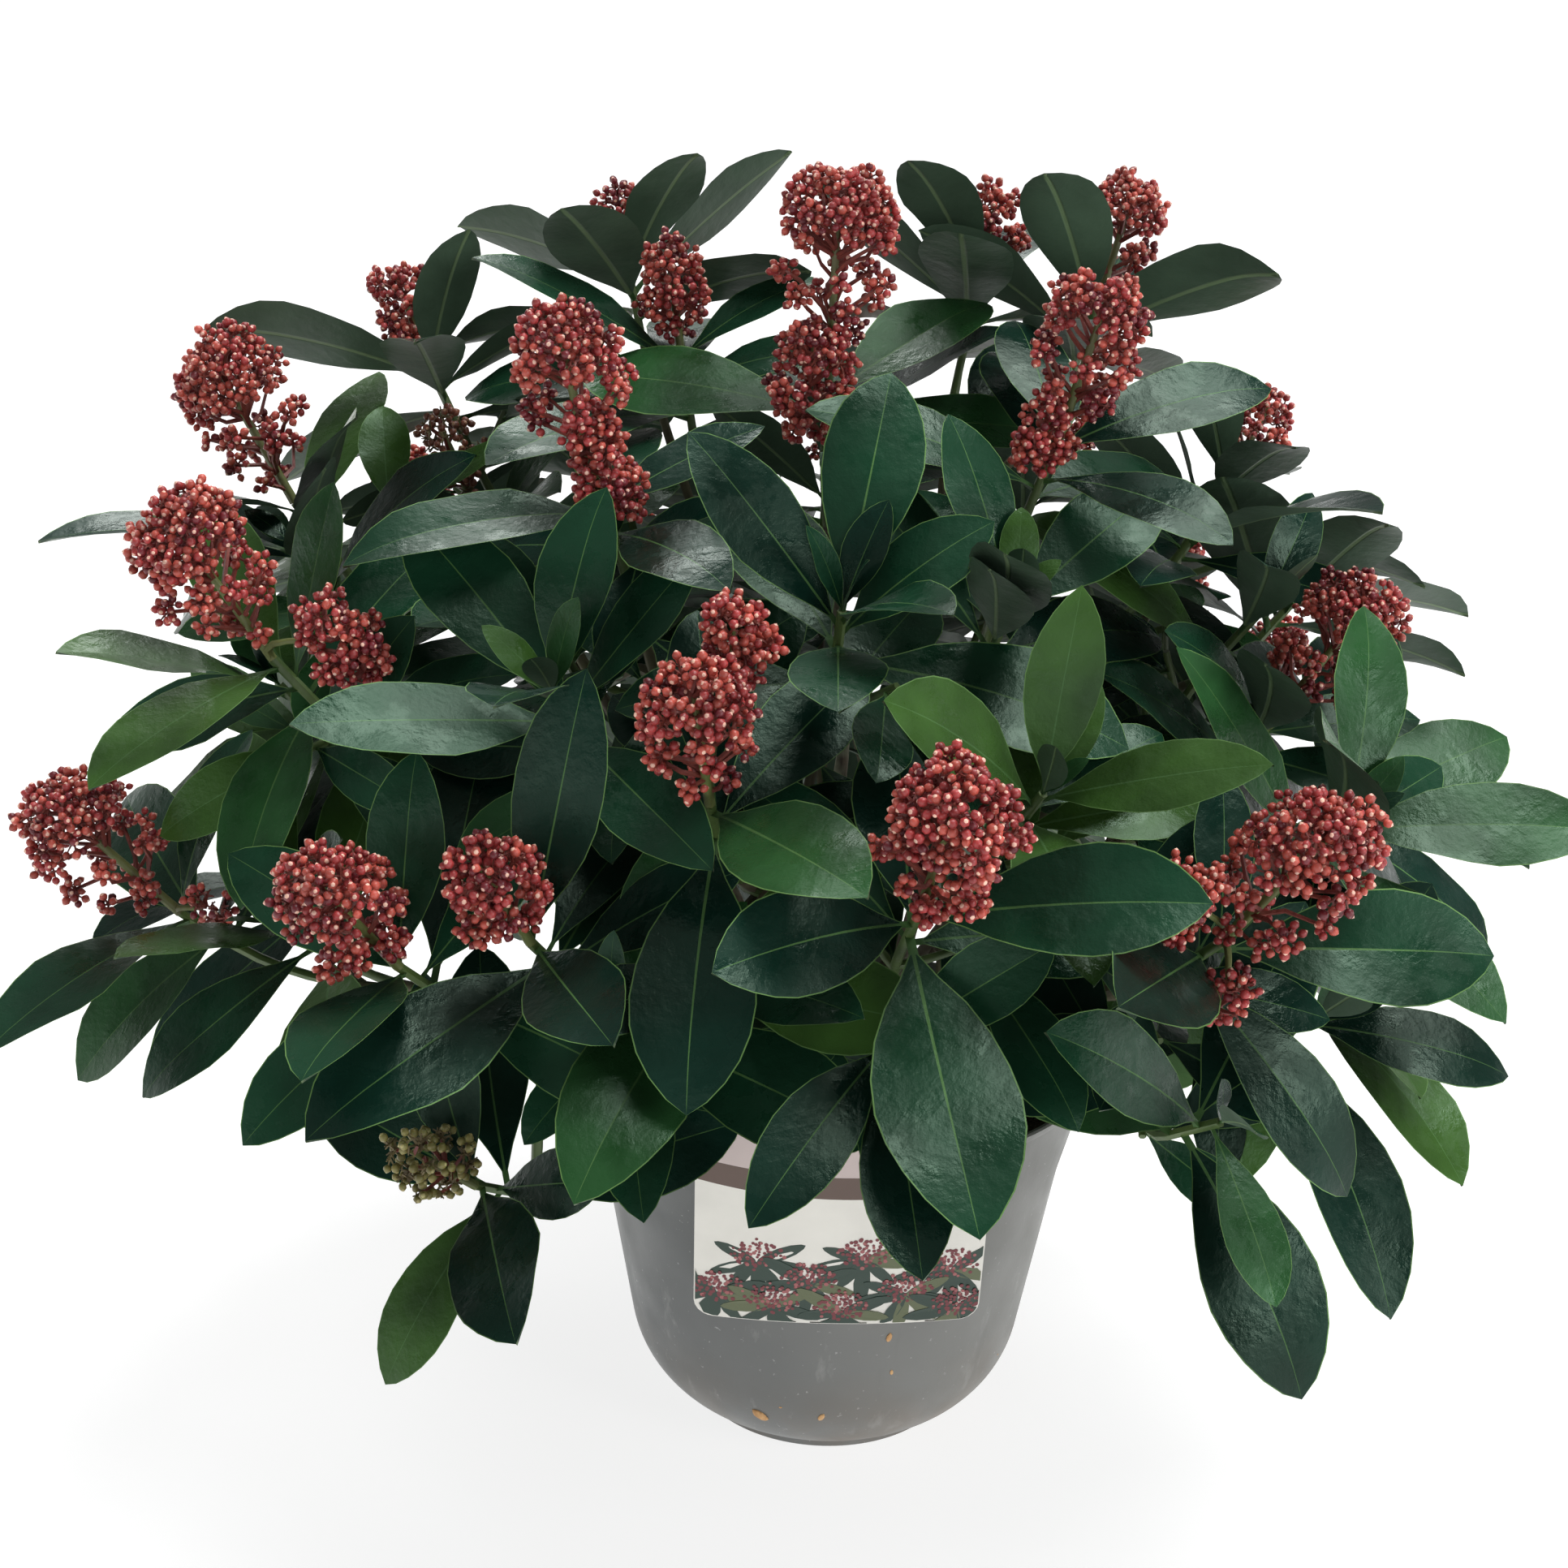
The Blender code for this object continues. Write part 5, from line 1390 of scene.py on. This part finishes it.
def make_heads(masses):
    bud, pedicel = model_bud(), model_pedicel()
    finishes = [bud_finish(name, colour) for name, colour in BUD_COLOURS.items()]
    red_stalk = stem_finish("red_stalk", (0.230, 0.050, 0.035), (0.130, 0.028, 0.025), 160.0, 0.50)
    tan_stalk = stem_finish("tan_stalk", (0.170, 0.135, 0.055), (0.100, 0.070, 0.035), 160.0, 0.60)
    green_stalk = stem_finish("flower_stem", (0.150, 0.190, 0.055), (0.110, 0.110, 0.040), 80.0, 0.48)
    spines, branch_runs, total = [], [], 0
    for part, names in SIDES_OF_CROWN.items():
        bud_clouds, bud_looks, stalk_clouds, stalk_looks = [], [], [], []
        for name in names:
            for rank, shoot in enumerate(masses[name]["shoots"]):
                for number, (centre, width, stalk) in enumerate(shoot["heads"]):
                    draw = np.random.default_rng([SEED, rank, number, len(name), sum(map(ord, name))])
                    axis = shoot["flower_axis"]
                    foot = stalk[-1] - axis * 0.45 * width if stalk else shoot["place"]
                    buds, ways, owners, stalks, branches = build_head(centre, axis, width, foot, draw)
                    if shoot["old"] or width < LOOSE_WIDTH:
                        left = draw.random(len(buds)) < OLD_BUDS_LEFT
                        buds, ways, owners = buds[left], ways[left], owners[left]
                    top = Vector(centre) + axis * 0.30 * width
                    if stalk:
                        spines.append((stalk[:-1] + [top], taper(0.0017, 0.0008, len(stalk))))
                    else:
                        spines.append(([shoot["place"], Vector(centre), top], [0.0021, 0.0016, 0.0008]))
                    branch_runs += branches
                    radii = BUD_RADIUS * draw.uniform(0.86, 1.12, len(buds))
                    frames = frames_along(ways, draw)
                    clouds = np.einsum("nij,mj->nmi", frames, bud.verts) * radii[:, None, None]
                    bud_clouds.append(clouds + buds[:, None, :])
                    cluster_tint = draw.choice(3, size=int(owners.max()) + 1, p=BUD_SHARES)
                    tint = np.where(draw.random(len(buds)) < 0.6, cluster_tint[owners],
                                    draw.choice(3, size=len(buds), p=BUD_SHARES))
                    base, tip = OLD_LOOKS[shoot["old"]] if shoot["old"] else (tint, 3)
                    shell = np.broadcast_to(np.asarray(base).reshape(-1, 1), (len(buds), len(bud.parts)))
                    bud_looks.append(np.where(bud.parts[None, :] == 1, tip, shell))
                    starts = np.array([start for start, _, _ in stalks])
                    reach = np.array([end for _, end, _ in stalks]) - starts
                    scale = np.array([(radius, radius, np.linalg.norm(run))
                                      for (_, _, radius), run in zip(stalks, reach)])
                    shaped = pedicel.verts[None, :, :] * scale[:, None, :]
                    stalk_clouds.append(np.einsum("nij,nmj->nmi", frames_along(reach, draw), shaped)
                                        + starts[:, None, :])
                    stalk_looks.append(np.full((len(stalks), len(pedicel.parts)), 1 if shoot["old"] else 0))
                    total += len(buds)
        piece = scatter("buds_" + part, bud, np.concatenate(bud_clouds), np.concatenate(bud_looks), finishes)
        finish_piece(piece, "foliage")
        piece = scatter("bud_stalks_" + part, pedicel, np.concatenate(stalk_clouds),
                        np.concatenate(stalk_looks), [red_stalk, tan_stalk])
        finish_piece(piece, "foliage")
    finish_piece(strands("flower_stems", spines, green_stalk, 1), "foliage")
    finish_piece(strands("flower_branches", branch_runs, red_stalk, 0), "foliage")
    print("buds", total)


# Pot, compost and card
def pot_side(height):
    """Outer radius of the pot at a height above its rounding."""
    if height <= POT_CREASE_HEIGHT:
        share = height / POT_CREASE_HEIGHT
        return POT_BASE_RADIUS + (POT_CREASE_RADIUS - POT_BASE_RADIUS) * share
    share = (height - POT_CREASE_HEIGHT) / (POT_HEIGHT - POT_CREASE_HEIGHT)
    return POT_CREASE_RADIUS + (POT_LIP_RADIUS - POT_LIP_PROUD - POT_CREASE_RADIUS) * share


def pot_rounding(inset, steps):
    """Points of the curve from the pot's floor up to its side, moved in by the inset."""
    slope = math.atan((POT_CREASE_RADIUS - POT_BASE_RADIUS) / POT_CREASE_HEIGHT)
    centre = POT_BASE_RADIUS - POT_ROUNDING * (1 - math.sin(slope)) / math.cos(slope)
    radius = POT_ROUNDING - inset
    start = math.asin((POT_FOOT_RADIUS - centre) / POT_ROUNDING) if inset == 0 else 0.0
    end = math.pi / 2 - slope
    angles = [start + (end - start) * step / steps for step in range(steps + 1)]
    return [(centre + radius * math.sin(a), POT_ROUNDING - radius * math.cos(a)) for a in angles]


def make_pot():
    band = POT_HEIGHT - POT_LIP_BAND
    curve = pot_rounding(0.0, ROUNDING_STEPS)
    foot = curve[0][1]
    profile = [(POT_FOOT_RADIUS - 0.0040, 0.0), (POT_FOOT_RADIUS - 0.0008, 0.0), (POT_FOOT_RADIUS, 0.0008)]
    profile += [(POT_FOOT_RADIUS, foot - 0.0006), (POT_FOOT_RADIUS + 0.0004, foot)]
    for (radius, height), (_, above) in zip(curve[1:], curve[2:] + [(0, 1)]):
        if height <= FOOT_LINE < above:
            profile += [(radius, height), (radius + 0.0002, height + 0.0004), (radius + 0.0014, height + 0.0009)]
        elif height <= FOOT_LINE or height > FOOT_LINE + 0.001:
            profile.append((radius, height))
    for height in (POT_CREASE_HEIGHT - 0.0015, POT_CREASE_HEIGHT + 0.0015, band - 0.0006):
        profile.append((pot_side(height), height))
    profile += [(pot_side(band) + 0.7 * POT_LIP_PROUD, band), (pot_side(band) + POT_LIP_PROUD, band + 0.0006)]
    profile += [(POT_LIP_RADIUS - 0.0001, POT_HEIGHT - 0.0008), (POT_LIP_RADIUS - 0.0008, POT_HEIGHT)]
    profile += [(POT_LIP_RADIUS - POT_WALL - 0.0002, POT_HEIGHT)]
    profile += [(POT_LIP_RADIUS - POT_WALL - POT_LIP_PROUD, POT_HEIGHT - 0.0008)]
    profile += [(POT_CREASE_RADIUS - POT_WALL, POT_CREASE_HEIGHT)]
    profile += list(reversed(pot_rounding(POT_WALL, ROUNDING_STEPS)))
    profile += [(0.0, profile[-1][1])]
    pot = lathe("pot_shell", profile, POT_SEGMENTS)
    pot.data.materials.append(pot_finish())
    take(pot)
    bpy.ops.object.shade_smooth_by_angle(angle=math.radians(40))
    finish_piece(pot, "pot", "pot")


def make_compost():
    inset = POT_WALL + GAP
    curve = pot_rounding(inset, ROUNDING_STEPS)
    profile = curve[1:] + [(POT_CREASE_RADIUS - inset, POT_CREASE_HEIGHT)]
    profile += [(pot_side(COMPOST_LEVEL) - inset, COMPOST_LEVEL)]
    profile += [(radius, COMPOST_LEVEL) for radius in (0.104, 0.098, 0.090, 0.080, 0.068, 0.055, 0.040, 0.025)]
    profile += [(0.0, COMPOST_LEVEL)]
    ball = lathe("root_ball", profile, 96)
    finish = compost_finish()
    ball.data.materials.append(finish)
    grain = bpy.data.textures.new("compost_lumps", "CLOUDS")
    grain.noise_scale = 0.010
    lumps = ball.modifiers.new("lumps", "DISPLACE")
    lumps.texture = grain
    lumps.texture_coords = "GLOBAL"
    lumps.direction = "Z"
    lumps.strength = 0.004
    top = ball.vertex_groups.new(name="top")
    top.add([v.index for v in ball.data.vertices if v.co.z > COMPOST_LEVEL - 0.001 and v.co.xy.length < 0.106],
            1.0, "REPLACE")
    lumps.vertex_group = "top"
    apply_all(ball)
    ball.vertex_groups.clear()
    bpy.ops.object.shade_smooth_by_angle(angle=math.radians(50))
    finish_piece(ball, "compost", "compost")
    deselect()
    bpy.ops.mesh.primitive_ico_sphere_add(subdivisions=1, radius=1.0)
    crumb = Pattern(named("crumb_pattern"))
    draw = np.random.default_rng(SEED)
    reach = 0.104 * np.sqrt(draw.random(COMPOST_CRUMBS))
    turn = draw.uniform(0, math.tau, COMPOST_CRUMBS)
    places = np.stack([reach * np.cos(turn), reach * np.sin(turn),
                       COMPOST_LEVEL + draw.uniform(0.0, 0.0022, COMPOST_CRUMBS)], axis=1)
    frames = frames_along(draw.normal(0, 1, (COMPOST_CRUMBS, 3)), draw)
    sizes = draw.uniform(0.0006, 0.0022, (COMPOST_CRUMBS, 1)) * draw.uniform(0.5, 1.3, (COMPOST_CRUMBS, 3))
    clouds = np.einsum("nij,nmj->nmi", frames, crumb.verts[None] * sizes[:, None, :]) + places[:, None, :]
    piece = scatter("compost_crumbs", crumb, clouds, np.zeros((COMPOST_CRUMBS, len(crumb.counts))), [finish])
    finish_piece(piece, "compost")


def card_distance(height):
    """Back of the card on its middle line: it leans on the lip and, low down, on the pot's side."""
    low = pot_side(CARD_LOW) + GAP
    high = POT_LIP_RADIUS + GAP
    return low + (high - low) * (height - CARD_LOW) / (POT_HEIGHT - CARD_LOW)


def on_card(aside, height, proud=0.0):
    """Place on the bowed face of the card, at a distance aside from its middle line."""
    outward = Vector((math.cos(math.radians(CARD_AZIMUTH)), math.sin(math.radians(CARD_AZIMUTH)), 0))
    across = Vector((-outward.y, outward.x, 0))
    back = CARD_BOW - math.sqrt(CARD_BOW ** 2 - aside ** 2)
    return outward * (card_distance(height) + CARD_THICKNESS + proud - back) + across * aside + Vector((0, 0, height))


BAND_LOW = 0.1545               # middle of the brown band's edges, which sag at the middle
BAND_HIGH = 0.1655
BAND_SAG = 0.0060
CARD_COLUMNS = 24
PRINT_PROUD = 0.00010
PRINT_LAYER = 0.0000007         # each patch lies this far over the one before it
PRINT_EDGE = 0.0005             # bare edge of the card round its print
PRINTED_SPRIGS = ((-0.034, 0.1210), (0.010, 0.1240), (0.046, 0.1170), (-0.012, 0.1110), (-0.050, 0.1030),
                  (0.028, 0.1050), (-0.027, 0.0985), (0.002, 0.0960), (0.050, 0.0965))    # their middles
PRINTED_LEAVES = 7
PRINTED_FLORETS = 76
FLORETS_REACH = 0.0112


def card_rows():
    """Heights, half widths and sags of the card's rows of vertices, from its foot to its top."""
    steps = [math.radians(angle) for angle in (0, 15, 30, 50, 70, 90)]
    rounded = [(CARD_CORNER * (1 - math.cos(a)), CARD_HALF_WIDTH - CARD_CORNER * (1 - math.sin(a)))
               for a in steps]
    rows = [(CARD_LOW + rise, half, 0.0) for rise, half in rounded]
    rows += [(BAND_LOW, CARD_HALF_WIDTH, BAND_SAG), (BAND_HIGH, CARD_HALF_WIDTH, BAND_SAG)]
    return rows + [(CARD_HIGH - rise, half, 0.0) for rise, half in reversed(rounded)]


def lay_sheet(name, columns, rows, place):
    """A grid laid by a function of the share across and the row. Returns it with each vertex's row."""
    deselect()
    bpy.ops.mesh.primitive_grid_add(x_subdivisions=columns, y_subdivisions=rows, size=2)
    sheet = named(name)
    levels = [round((vert.co.y + 1) / 2 * rows) for vert in sheet.data.vertices]
    for vert, level in zip(sheet.data.vertices, levels):
        vert.co = place(vert.co.x, level)
    return sheet, levels


def thicken_card(sheet):
    wall = sheet.modifiers.new("sheet", "SOLIDIFY")
    wall.thickness = CARD_THICKNESS
    wall.offset = 0.0
    apply_all(sheet)
    bpy.ops.object.shade_smooth_by_angle(angle=math.radians(40))


def make_card():
    """A grid of rows from the card's foot to its top, rounded at the corners and bowed round the pot."""
    rows = card_rows()

    def place(across, level):
        height, half, sag = rows[level]
        aside = across * half
        return on_card(aside, height + sag * ((aside / CARD_HALF_WIDTH) ** 2 - 0.5), -0.5 * CARD_THICKNESS)

    card, levels = lay_sheet("card_sheet", CARD_COLUMNS, len(rows) - 1, place)
    tints = {"panel": (0.800, 0.780, 0.720), "band": (0.120, 0.078, 0.062), "upper": (0.560, 0.470, 0.450)}
    for name, colour in tints.items():
        card.data.materials.append(print_finish("card_" + name, colour))
    band = rows.index((BAND_LOW, CARD_HALF_WIDTH, BAND_SAG))
    for face in card.data.polygons:
        level = min(levels[index] for index in face.vertices)
        face.material_index = 0 if level < band else 1 if level == band else 2
    thicken_card(card)
    finish_piece(card, "card", "label_card")
    make_hook(card.data.materials[0])


def make_hook(plastic):
    """A strap of the card's plastic from its back over the pot's lip and down inside it."""
    top = POT_HEIGHT + GAP + 0.5 * CARD_THICKNESS
    inside = POT_LIP_RADIUS - POT_WALL - POT_LIP_PROUD - GAP - 0.5 * CARD_THICKNESS
    slope = (POT_LIP_RADIUS - POT_CREASE_RADIUS) / (POT_HEIGHT - POT_CREASE_HEIGHT)
    line = [(card_distance(top) + 0.5 * CARD_THICKNESS, top), (inside + HOOK_BEND, top)]
    line += [(inside + 0.3 * HOOK_BEND, top - 0.3 * HOOK_BEND), (inside, top - HOOK_BEND)]
    line += [(inside - slope * HOOK_DEPTH, POT_HEIGHT - HOOK_DEPTH)]

    def place(across, level):
        distance, height = line[level]
        aside = across * HOOK_HALF_WIDTH
        back = inside - math.sqrt(inside ** 2 - aside ** 2)
        angle = math.radians(CARD_AZIMUTH)
        outward = Vector((math.cos(angle), math.sin(angle), 0))
        return outward * (distance - back) + Vector((-outward.y, outward.x, 0)) * aside + Vector((0, 0, height))

    hook, _ = lay_sheet("card_hook", HOOK_COLUMNS, len(line) - 1, place)
    hook.data.materials.append(plastic)
    thicken_card(hook)
    finish_piece(hook, "card")


def printed_leaf(middle, turn, length, width):
    """Outline of a leaf of the print, pointed at both ends."""
    points = []
    for step in range(12):
        angle = math.tau * step / 12
        x, y = 0.5 * length * math.cos(angle), 0.5 * width * math.sin(angle) * abs(math.sin(angle)) ** 0.3
        points.append((middle[0] + x * math.cos(turn) - y * math.sin(turn),
                       middle[1] + x * math.sin(turn) + y * math.cos(turn)))
    return points


def printed_dot(middle, radius):
    return [(middle[0] + radius * math.cos(math.tau * step / 8),
             middle[1] + radius * math.sin(math.tau * step / 8)) for step in range(8)]


def printed_sprig(aside, top, draw):
    """Leaves that fan out under a round cluster of fine florets, as outlines with their colours."""
    shapes = []
    for step in range(PRINTED_LEAVES):
        angle = math.radians(155 + 230 * step / (PRINTED_LEAVES - 1)) + draw.uniform(-0.15, 0.15)
        length = draw.uniform(0.018, 0.025)
        middle = (aside + 0.5 * length * math.cos(angle), top - 0.004 + 0.5 * length * math.sin(angle))
        shapes.append((printed_leaf(middle, angle, length, 0.28 * length), draw.choice((0, 0, 0, 1))))
    for step in range(PRINTED_FLORETS):
        spread = FLORETS_REACH * math.sqrt((step + 0.5) / PRINTED_FLORETS) * draw.uniform(0.85, 1.08)
        angle = step * GOLDEN_ANGLE + draw.uniform(-0.2, 0.2)
        middle = (aside + spread * math.cos(angle), top + 0.70 * spread * math.sin(angle))
        shapes.append((printed_dot(middle, draw.uniform(0.0006, 0.0010)), draw.choice((2, 2, 2, 3))))
    return shapes


def kept_on_card(x, y):
    """A place of the print, moved inside the card's rounded edge."""
    y = max(y, CARD_LOW + PRINT_EDGE)
    reach = CARD_HALF_WIDTH - PRINT_EDGE
    drop = CARD_LOW + CARD_CORNER - y
    if drop > 0:
        bend_radius = CARD_CORNER - PRINT_EDGE
        reach = CARD_HALF_WIDTH - CARD_CORNER + math.sqrt(max(0.0, bend_radius ** 2 - drop ** 2))
    return max(-reach, min(reach, x)), y


def make_card_print():
    """A generic print of leafy sprigs in flower along the foot of the cream panel, in thin flat patches."""
    draw = random.Random(SEED)
    shapes = []
    for aside, height in PRINTED_SPRIGS:
        shapes += printed_sprig(aside, height, draw)
    for step in range(5):
        middle = (0.020 + 0.0032 * math.cos(step * GOLDEN_ANGLE), 0.178 + 0.0032 * math.sin(step * GOLDEN_ANGLE))
        shapes.append((printed_dot(middle, 0.0030), 4))
    verts, faces, looks = [], [], []
    for order, (points, look) in enumerate(shapes):
        proud = PRINT_PROUD + PRINT_LAYER * order
        clipped = [kept_on_card(x, y) for x, y in points]
        if max(y for _, y in clipped) < CARD_LOW + 2 * PRINT_EDGE:
            continue
        back = [on_card(x, y, -0.0001) for x, y in clipped]
        front = [on_card(x, y, proud) for x, y in clipped]
        first, count = len(verts), len(points)
        verts += back + front
        faces.append([first + count + index for index in range(count)])
        faces.append([first + index for index in reversed(range(count))])
        for index in range(count):
            after = (index + 1) % count
            faces.append([first + index, first + after, first + count + after, first + count + index])
        looks += [look] * (count + 2)
    mesh = bpy.data.meshes.new("card_print")
    mesh.from_pydata(verts, [], faces)
    colours = {"print_dark_leaf": (0.026, 0.052, 0.038), "print_olive_leaf": (0.120, 0.140, 0.070),
               "print_floret": (0.180, 0.034, 0.042), "print_pink_floret": (0.360, 0.115, 0.115),
               "print_blossom": (0.640, 0.330, 0.300)}
    for name, colour in colours.items():
        mesh.materials.append(print_finish(name, colour))
    for face, look in zip(mesh.polygons, looks):
        face.material_index = look
    piece = bpy.data.objects.new("card_print", mesh)
    bpy.context.scene.collection.objects.link(piece)
    finish_piece(piece, "card")


# Bits of husk stuck to the pot, by their pixels in the photo, with their lengths and turns
HUSKS = ((1095, 1647, 0.0050, 80), (1098, 1690, 0.0030, 95), (937, 1742, 0.0088, -35), (1012, 1745, 0.0050, 60),
         (962, 1733, 0.0017, 10), (1228, 1668, 0.0015, 0))
HUSK_PROUD = 0.0005


def seen_at(column, row):
    """Where the line of sight through a pixel of the photo meets the pot, and the way out from it there."""
    matrix = camera_matrix()
    line = Vector(((column - IMAGE_SIDE / 2) / FOCAL_PIXELS, (IMAGE_SIDE / 2 - row) / FOCAL_PIXELS, -1.0))
    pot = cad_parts["pot"].data
    wall = BVHTree.FromPolygons([v.co for v in pot.vertices], [tuple(p.vertices) for p in pot.polygons])
    place, out, _, _ = wall.ray_cast(matrix.translation, (matrix.to_3x3() @ line).normalized())
    return place, out


def make_husks():
    """Thin curved flakes of seed husk, each a ball pressed flat and bent in at its ends."""
    finish = stem_finish("husk", (0.760, 0.460, 0.210), (0.500, 0.260, 0.100), 400.0, 0.6)
    flakes = []
    for column, row, length, turn in HUSKS:
        place, out = seen_at(column, row)
        deselect()
        bpy.ops.mesh.primitive_uv_sphere_add(segments=12, ring_count=8, radius=1.0)
        flake = named("husk")
        pick(flake, lambda co: abs(co.x) > 0.6)
        resize((1.0, 0.6, 0.8))
        pick(flake, lambda co: abs(co.x) > 0.85)
        bpy.ops.transform.translate(value=(0, 0, -0.5))
        bpy.ops.mesh.select_all(action="SELECT")
        resize((0.5 * length, 0.24 * length, 0.12 * length))
        done(flake)
        side = Matrix.Rotation(math.radians(turn), 3, out) @ out.cross(Vector((0, 0, 1))).normalized()
        turned = Matrix((side, out.cross(side), out)).transposed().to_4x4()
        turned.translation = place + out * (HUSK_PROUD + 0.03 * length)
        flake.data.transform(turned)
        flake.data.materials.append(finish)
        take(flake)
        bpy.ops.object.shade_smooth()
        flakes.append(flake)
    deselect()
    for flake in flakes:
        flake.select_set(True)
    bpy.context.view_layer.objects.active = flakes[0]
    bpy.ops.object.join()
    finish_piece(named("husks"), "pot")


# Studio
def make_studio():
    deselect()
    bpy.ops.mesh.primitive_plane_add(size=60, location=(0, 0, -0.0002))
    floor = named("floor")
    bpy.ops.object.transform_apply(location=True, rotation=False, scale=False)
    made, tree, shader = new_material("pale_floor", (0.32, 0.32, 0.32), 0.9)
    shader.inputs["Emission Color"].default_value = (1.0, 1.0, 1.0, 1.0)
    shader.inputs["Emission Strength"].default_value = FLOOR_GLOW
    floor.data.materials.append(made)
    world = bpy.data.worlds.new("studio")
    world.use_nodes = True
    tree = world.node_tree
    direction = node(tree, "ShaderNodeTexCoord").outputs["Generated"]
    height = node(tree, "ShaderNodeSeparateXYZ", {"Vector": direction}).outputs["Z"]
    shades = node(tree, "ShaderNodeValToRGB", {"Fac": height})
    shades.color_ramp.elements.remove(shades.color_ramp.elements[1])
    for number, (place, shade) in enumerate(SKY):
        stop = shades.color_ramp.elements[0] if number == 0 else shades.color_ramp.elements.new(place)
        stop.position = place
        stop.color = (shade, shade, shade, 1.0)
    background = tree.nodes["Background"]
    tree.links.new(shades.outputs["Color"], background.inputs["Color"])
    background.inputs["Strength"].default_value = 1.0
    bpy.context.scene.world = world
    bpy.context.scene.view_settings.view_transform = "Standard"
    sun = bpy.data.lights.new("overhead", "SUN")
    sun.energy = SUN_STRENGTH
    sun.angle = math.radians(SUN_SPREAD)
    sun.specular_factor = SUN_GLOSS
    lamp = bpy.data.objects.new("overhead", sun)
    bpy.context.scene.collection.objects.link(lamp)
    lamp.rotation_euler = polar(SUN_AZIMUTH, 1.0, SUN_RISE).to_track_quat("Z", "Y").to_euler()
    for name, place, size, power in SOFT_LIGHTS:
        light = bpy.data.lights.new(name, "AREA")
        light.shape = "DISK"
        light.size = size
        light.energy = power
        lamp = bpy.data.objects.new(name, light)
        bpy.context.scene.collection.objects.link(lamp)
        lamp.location = place
        lamp.rotation_euler = (Vector(place) - Vector((0, 0, 0.3))).to_track_quat("Z", "Y").to_euler()


def camera_matrix():
    """The camera looks down on the plant, rolled a little as the photo is."""
    back = Vector((0, -math.cos(CAMERA_ELEVATION), math.sin(CAMERA_ELEVATION)))
    right = back.cross(Vector((0, 0, -1))).normalized()
    up = back.cross(right)
    rolled_right = right * math.cos(CAMERA_ROLL) + up * math.sin(CAMERA_ROLL)
    rolled_up = up * math.cos(CAMERA_ROLL) - right * math.sin(CAMERA_ROLL)
    matrix = Matrix((rolled_right, rolled_up, back)).transposed().to_4x4()
    matrix.translation = CAMERA_TARGET + back * CAMERA_DISTANCE
    return matrix


def make_camera():
    data = bpy.data.cameras.new("camera")
    data.sensor_width = 36.0
    data.lens = 36.0 * FOCAL_PIXELS / IMAGE_SIDE
    camera = bpy.data.objects.new("camera", data)
    bpy.context.scene.collection.objects.link(camera)
    camera.matrix_world = camera_matrix()
    bpy.context.scene.camera = camera


def grow_plant():
    """Runs the rule, and returns the masses with the side twigs and the trunk's line."""
    space = Space()
    for name in ("pot", "compost", "label_card"):
        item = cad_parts[name]
        place = item.matrix_world
        verts = [place @ v.co for v in item.data.vertices]
        space.add(verts, [tuple(p.vertices) for p in item.data.polygons], name)
    points, widths = trunk_line()
    space.add(*trunk_solid(points, widths), "trunk")
    masses = grow()
    place_boughs(masses, space, points, widths)
    place_twigs(masses, space)
    for name, rank, shoot in living_shoots(masses):
        if shoot["flower"]:
            place_head(name, rank, shoot, shoot["head"], shoot["flower"], space, None)
    place_side_heads(masses, space)
    place_leaves(masses, space)
    print("leaves by the rule", sum(len(s["leaves"]) for _, _, s in living_shoots(masses)))
    side_twigs = place_inner_growth(masses, space)
    hang_stray_clusters(masses)
    return masses, side_twigs, points, widths


def main():
    masses, side_twigs, points, widths = grow_plant()
    make_leaves(masses)
    make_stems(masses, side_twigs)
    make_bark(masses, points, widths)
    make_heads(masses)
    make_pot()
    make_compost()
    make_card()
    make_card_print()
    make_husks()
    make_studio()
    make_camera()


main()
